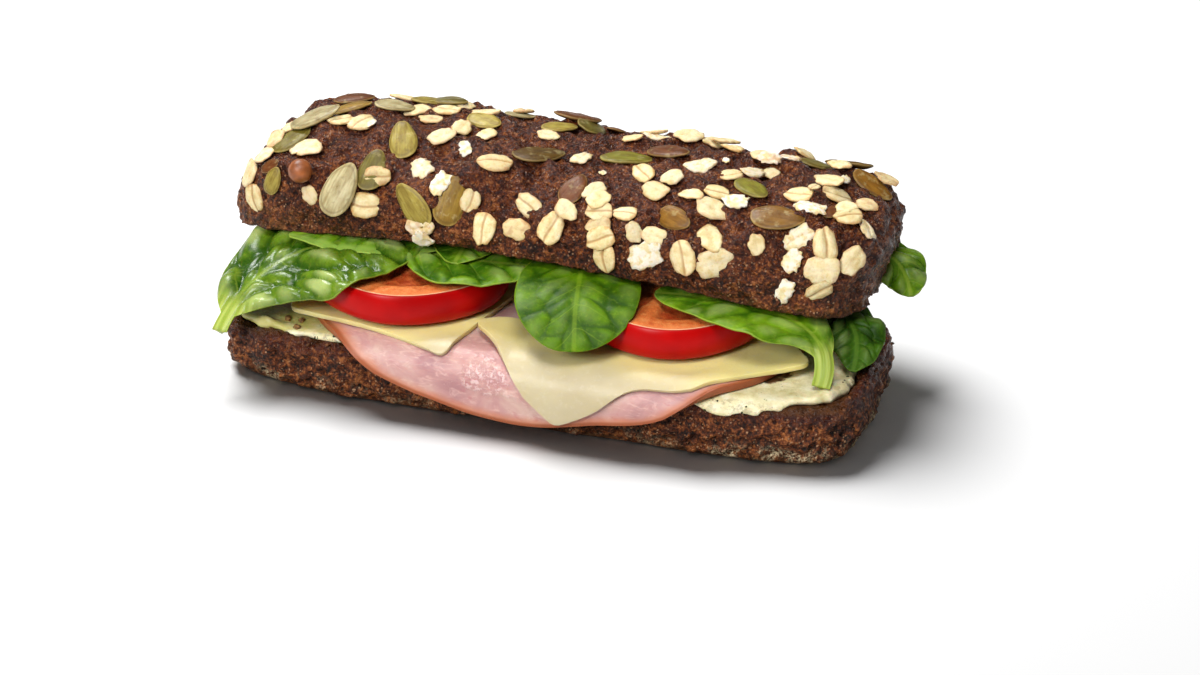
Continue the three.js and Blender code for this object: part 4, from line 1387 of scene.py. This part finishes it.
def layRoundSeed(tree):
    place = (*roundSeed["spot"], roundSeed["turn"], roundSeed["around"] * mm)
    spot, normal, _, along = seenSeat(tree, *place)
    piece = addBall("roundSeed", 32, 20)
    xyz = points(piece) * mm * roundSeed["diameter"] / 2
    xyz *= outlineNoise(*(xyz[:, :2].T), 3, 0.05, 2.2)[:, None]
    setPoints(piece, xyz)
    piece.matrix_world = basis(spot + normal * roundSeed["diameter"] * roundSeed["lift"] * mm, normal, along)
    makeActive(piece)
    bpy.ops.object.transform_apply()
    return piece


def layToppings(crust):
    bpy.context.view_layer.update()
    tree = BVHTree.FromObject(crust, bpy.context.evaluated_depsgraph_get())
    draw, taken = np.random.default_rng(23), []
    seeds = laySeeds(crust, tree, draw, taken)
    return layFlakes(crust, tree, draw, taken), seeds, layRoundSeed(tree)


crumbs = {
    "kinds": 5,
    "size": (0.35, 1.15),  # across, in millimetres
    "tone": (0.5, 1.3),
    "low": 260,
    "lid": 90,
    "herbs": 130,
    "herbSize": (0.35, 0.7),
    "herbTone": (0.5, 1.5),
    "seeds": [(297, 328), (302, 321), (288, 319), (268, 329)],  # across and down the frame
    "seedSize": 1.9,
    "tints": {"crust": "#6b4020", "herb": "#2c3010", "seed": "#9a7440"},
}


# one rough grain, a little longer than it is high
def makeCrumb(i):
    piece = addBall("crumb" + str(i), 8, 6)
    xyz = points(piece) * mm
    bulge = np.array([1 + 0.5 * noise.noise(Vector(p) * 1.4 + Vector((i * 3.1, 0, 0))) for p in xyz])
    setPoints(piece, xyz * bulge[:, None] * (0.62, 0.5, 0.4))
    return piece


def layCrumbs(low, lid, spread):
    draw = np.random.default_rng(7)
    shapes = [makeCrumb(i) for i in range(crumbs["kinds"])]
    tints = {kind: rgbOf(code) for kind, code in crumbs["tints"].items()}
    copies = []

    def lay(spot, size, rgb):
        turn = Matrix.Rotation(draw.uniform(0, 6.3), 4, "Z") @ Matrix.Rotation(draw.uniform(0, 6.3), 4, "X")
        matrix = Matrix.Translation(spot) @ turn @ Matrix.Scale(size, 4)
        copies.append(layCopy(shapes[draw.integers(len(shapes))], matrix, rgb))

    for piece, count, band in ((low, crumbs["low"], "glaze"), (lid, crumbs["lid"], "lowEdge")):
        edge = np.nonzero((valuesOf(piece, band) > 0.8) & (valuesOf(piece, "crumb") < 0.6))[0]
        xyz = points(piece) * mm
        for i in draw.choice(edge, count, replace=False):
            rgb = tints["crust"] * draw.uniform(*crumbs["tone"])
            lay(Vector(xyz[i]), draw.uniform(*crumbs["size"]), rgb)
    xyz, rim = points(spread) * mm, np.nonzero(valuesOf(spread, "rim") > 0.35)[0]
    for i in draw.choice(rim, crumbs["herbs"], replace=False):
        size = draw.uniform(*crumbs["herbSize"])
        lay(Vector(xyz[i]), size, tints["herb"] * draw.uniform(*crumbs["herbTone"]))
    tree = BVHTree.FromObject(spread, bpy.context.evaluated_depsgraph_get())
    for across, down in crumbs["seeds"]:
        spot = tree.ray_cast(*frameRay(across, down))[0]
        if spot:
            lay(spot + Vector((0, 0, 0.3 * mm)), crumbs["seedSize"], tints["seed"])
    return joinCopies("crumbs", copies, shapes)


def crumbFinish():
    f = Finish("ryeCrumb", Roughness=0.6, Specular_IOR_Level=0.3)
    tone = f.attribute("tint", "Color")
    dull = f.mix(1.0, tone, colour("#8f7d70"), "MULTIPLY")
    base = f.mix(f.span(f.noise(0.7, 3, 0.6), 0.35, 0.65), dull, tone)
    return f.finished(base, f.bump(f.noise(0.3, 3, 0.6), 0.12, 0.6))


def oatFinish():
    f = Finish("rolledOat", Roughness=0.55, Specular_IOR_Level=0.3, Subsurface_Weight=0.15,
               Subsurface_Scale=0.001)
    lie = f.node("SeparateXYZ", {0: f.attribute("lie", "Vector")}).outputs
    tone = f.node("SeparateColor", {0: f.attribute("tint", "Color")}).outputs
    fibre, grain = f.noise(0.9, 3, 0.6), f.noise(1.8, 3)
    base = f.ramp(f.noise(2.6, 4, 0.6), (0.3, "#cbb277"), (0.5, "#decb98"), (0.72, "#e8dbb4"))
    base = f.coat(base, "#b8935a", f.span(fibre, 0.45, 0.3), 0.3)
    base = f.coat(base, "#b88543", f.span(f.ragged(f.attribute("out"), grain, 0.7), 0.78, 1.05), 0.7)
    line = f.span(f.math("ABSOLUTE", f.ragged(lie[1], grain, 0.084)), 0.17, 0.02)
    crease = f.times(line, f.times(lie[2], 1.7), clamp=True)
    base = f.coat(base, "#9c6a30", crease, 0.8)
    base = f.coat(base, "#e9e2d2", f.times(tone[1], f.span(grain, 0.38, 0.58)))
    toasted = f.times(f.span(tone[2], 0.7, 1.0), f.span(f.noise(2.6, 3), 0.4, 0.65))
    base = f.coat(base, "#a97434", toasted, 0.65)
    grey = f.node("CombineColor", {0: tone[0], 1: tone[0], 2: tone[0]}).outputs[0]
    relief = f.bump(f.noise(0.35, 3, 0.6), 0.15, 0.5, f.bump(crease, 0.4, -0.6))
    return f.finished(f.mix(1.0, base, grey, "MULTIPLY"), f.bump(fibre, 0.35, 0.6, relief))


def seedFinish():
    f = Finish("pumpkinSeed", Specular_IOR_Level=0.25, Subsurface_Weight=0.1, Subsurface_Scale=0.001)
    tone, out = f.attribute("tint", "Color"), f.attribute("out")
    place = f.node("Mapping", {"Vector": f.attribute("lie", "Vector"), "Scale": (0.9, 2.6, 1)}).outputs[0]
    streaks = f.node("TexNoise", {"Vector": place, "Scale": 1.7, "Detail": 4}).outputs["Fac"]
    base = f.mix(f.span(streaks, 0.3, 0.7), f.mix(1.0, tone, colour("#c4b8a0"), "MULTIPLY"), tone)
    base = f.coat(base, "#c9bb86", f.span(f.noise(2.6, 4, 0.6), 0.55, 0.72), 0.3)
    base = f.coat(base, "#5d4520", f.span(f.noise(2.1, 4, 0.6), 0.45, 0.3), 0.4)
    base = f.coat(base, "#b79d62", f.span(out, 0.93, 0.98), 0.3)
    groove = f.times(f.span(out, 0.8, 0.86), f.span(out, 0.93, 0.88))
    base = f.coat(base, "#4d3a1c", groove, 0.35)
    relief = f.bump(streaks, 0.35, 0.3, f.bump(groove, 0.3, -0.5))
    relief = f.bump(f.noise(0.7, 3, 0.6), 0.2, 0.5, relief)
    return f.finished(base, relief, f.math("MULTIPLY_ADD", f.noise(3, 3), 0.35, 0.26))


def roundSeedFinish():
    f = Finish("roundSeedSkin", Roughness=0.42, Specular_IOR_Level=0.5)
    base = f.ramp(f.noise(4, 3), (0.35, "#67391f"), (0.65, "#a25a2a"))
    return f.finished(base, f.bump(f.noise(0.6, 3), 0.15, 0.5))


stage = {
    "floorSize": 8,  # in metres
    "paint": (0.9, 0.9, 0.9, 1),
    "roomLight": 0.12,
    "backdrop": 1.1,
    # place, diameter in metres, watts, and what it is flagged to fall on
    "lights": {
        "floorLight": ((-0.5, 0.34, 1.15), 0.8, 25, "floor"),
        "keyLight": ((-0.5, 0.45, 0.9), 0.35, 10, "roll"),
        "topLight": ((0.15, -0.5, 1.25), 0.5, 12, "roll"),
        "frontLight": ((-0.35, -1.15, 0.8), 0.5, 15, "roll"),
    },
}


def makeFloor():
    deselect()
    bpy.ops.mesh.primitive_plane_add(size=stage["floorSize"], location=(0, 0, -0.1 * mm))
    floor = named("floor")
    paint = Finish("floorPaint", Roughness=0.7, Specular_IOR_Level=0.2, Base_Color=stage["paint"])
    floor.data.materials.append(paint.material)


# white behind the roll for the camera, a dim and even light for everything else
def makeWorld():
    world = bpy.context.scene.world or bpy.data.worlds.new("world")
    bpy.context.scene.world = world
    world.use_nodes = True
    tree = world.node_tree
    around, backdrop = tree.nodes["Background"], tree.nodes.new("ShaderNodeBackground")
    for light, strength in ((around, stage["roomLight"]), (backdrop, stage["backdrop"])):
        light.inputs["Color"].default_value = (1, 1, 1, 1)
        light.inputs["Strength"].default_value = strength
    either = tree.nodes.new("ShaderNodeMixShader")
    tree.links.new(tree.nodes.new("ShaderNodeLightPath").outputs["Is Camera Ray"], either.inputs[0])
    tree.links.new(around.outputs[0], either.inputs[1])
    tree.links.new(backdrop.outputs[0], either.inputs[2])
    tree.links.new(either.outputs[0], tree.nodes["World Output"].inputs["Surface"])
    bpy.context.scene.view_settings.view_transform = "Standard"


def makeLights():
    for name, (spot, size, power, _) in stage["lights"].items():
        deselect()
        bpy.ops.object.light_add(type="AREA", location=spot)
        light = bpy.context.object
        light.name = name
        light.data.shape = "DISK"
        light.data.size = size
        light.data.energy = power
        light.rotation_euler = Vector(spot).to_track_quat("Z", "Y").to_euler()


def makeCamera():
    deselect()
    bpy.ops.object.camera_add()
    view = bpy.context.object
    view.name = "camera"
    view.matrix_world = cameraMatrix()
    view.data.lens = camera["lens"]
    view.data.sensor_width = camera["sensor"]
    view.data.clip_start = 0.01
    bpy.context.scene.camera = view


# each light falls only on what it is flagged for, so the floor keeps its shadow
def flagLights():
    pieces = [piece for piece in bpy.context.scene.objects if piece.type == "MESH"]
    groups = {
        "floor": [piece for piece in pieces if piece.name == "floor"],
        "roll": [piece for piece in pieces if piece.name != "floor"],
    }
    for group, members in groups.items():
        lit = bpy.data.collections.new(group + "Lit")
        for piece in members:
            lit.objects.link(piece)
        for name, (_, _, _, falls) in stage["lights"].items():
            if falls == group:
                bpy.data.objects[name].light_linking.receiver_collection = lit


makeFloor()
makeWorld()
makeLights()
makeCamera()

bread = crustFinish()
crustBottom = makeBottomCrust()
finishPiece(crustBottom, bread, "crust", "bread_bottom")
crustTop = makeTopCrust()
finishPiece(crustTop, bread, "crust", "bread_top")
spreadLayer = makeSpread()
finishPiece(spreadLayer, spreadFinish(), "spread", "spread")
bpy.context.view_layer.update()
crumbLayer = layCrumbs(crustBottom, crustTop, spreadLayer)
finishPiece(crumbLayer, crumbFinish(), "crust", "bread_bottom", "bread_top")
finishPiece(makeHam(), hamFinish(), "ham", "ham")
cheese = cheeseFinish()
for name, shape in cheeseSlices.items():
    finishPiece(makeCheese(name), cheese, "cheese", shape["node"])
tomato = tomatoFinish()
for name, shape in tomatoSlices.items():
    finishPiece(makeTomato(name), tomato, "tomato", shape["node"])
leafFinishes = {
    "waxy": leafFinish("waxyLeaf", "#1d4204", "#668416", "#9fb23e", 0.6),
    "bright": leafFinish("brightLeaf", "#2a5305", "#719813", "#a8bb48", 0.27),
    "deep": leafFinish("deepLeaf", "#234402", "#577b07", "#86a22a", 0.1),
    "shaded": leafFinish("shadedLeaf", "#1a3605", "#36590b", "#5f7f26"),
}
for name in leaves:
    look = leaves[name].get("finish", plainLeaf["finish"])
    finishPiece(makeLeaf(name), leafFinishes[look], "spinach", name.replace("leaf", "spinach_"))
flakes, seeds, roundOne = layToppings(crustTop)
finishPiece(flakes, oatFinish(), "crust", "bread_top")
finishPiece(seeds, seedFinish(), "crust", "bread_top")
finishPiece(roundOne, roundSeedFinish(), "crust", "bread_top")
flagLights()
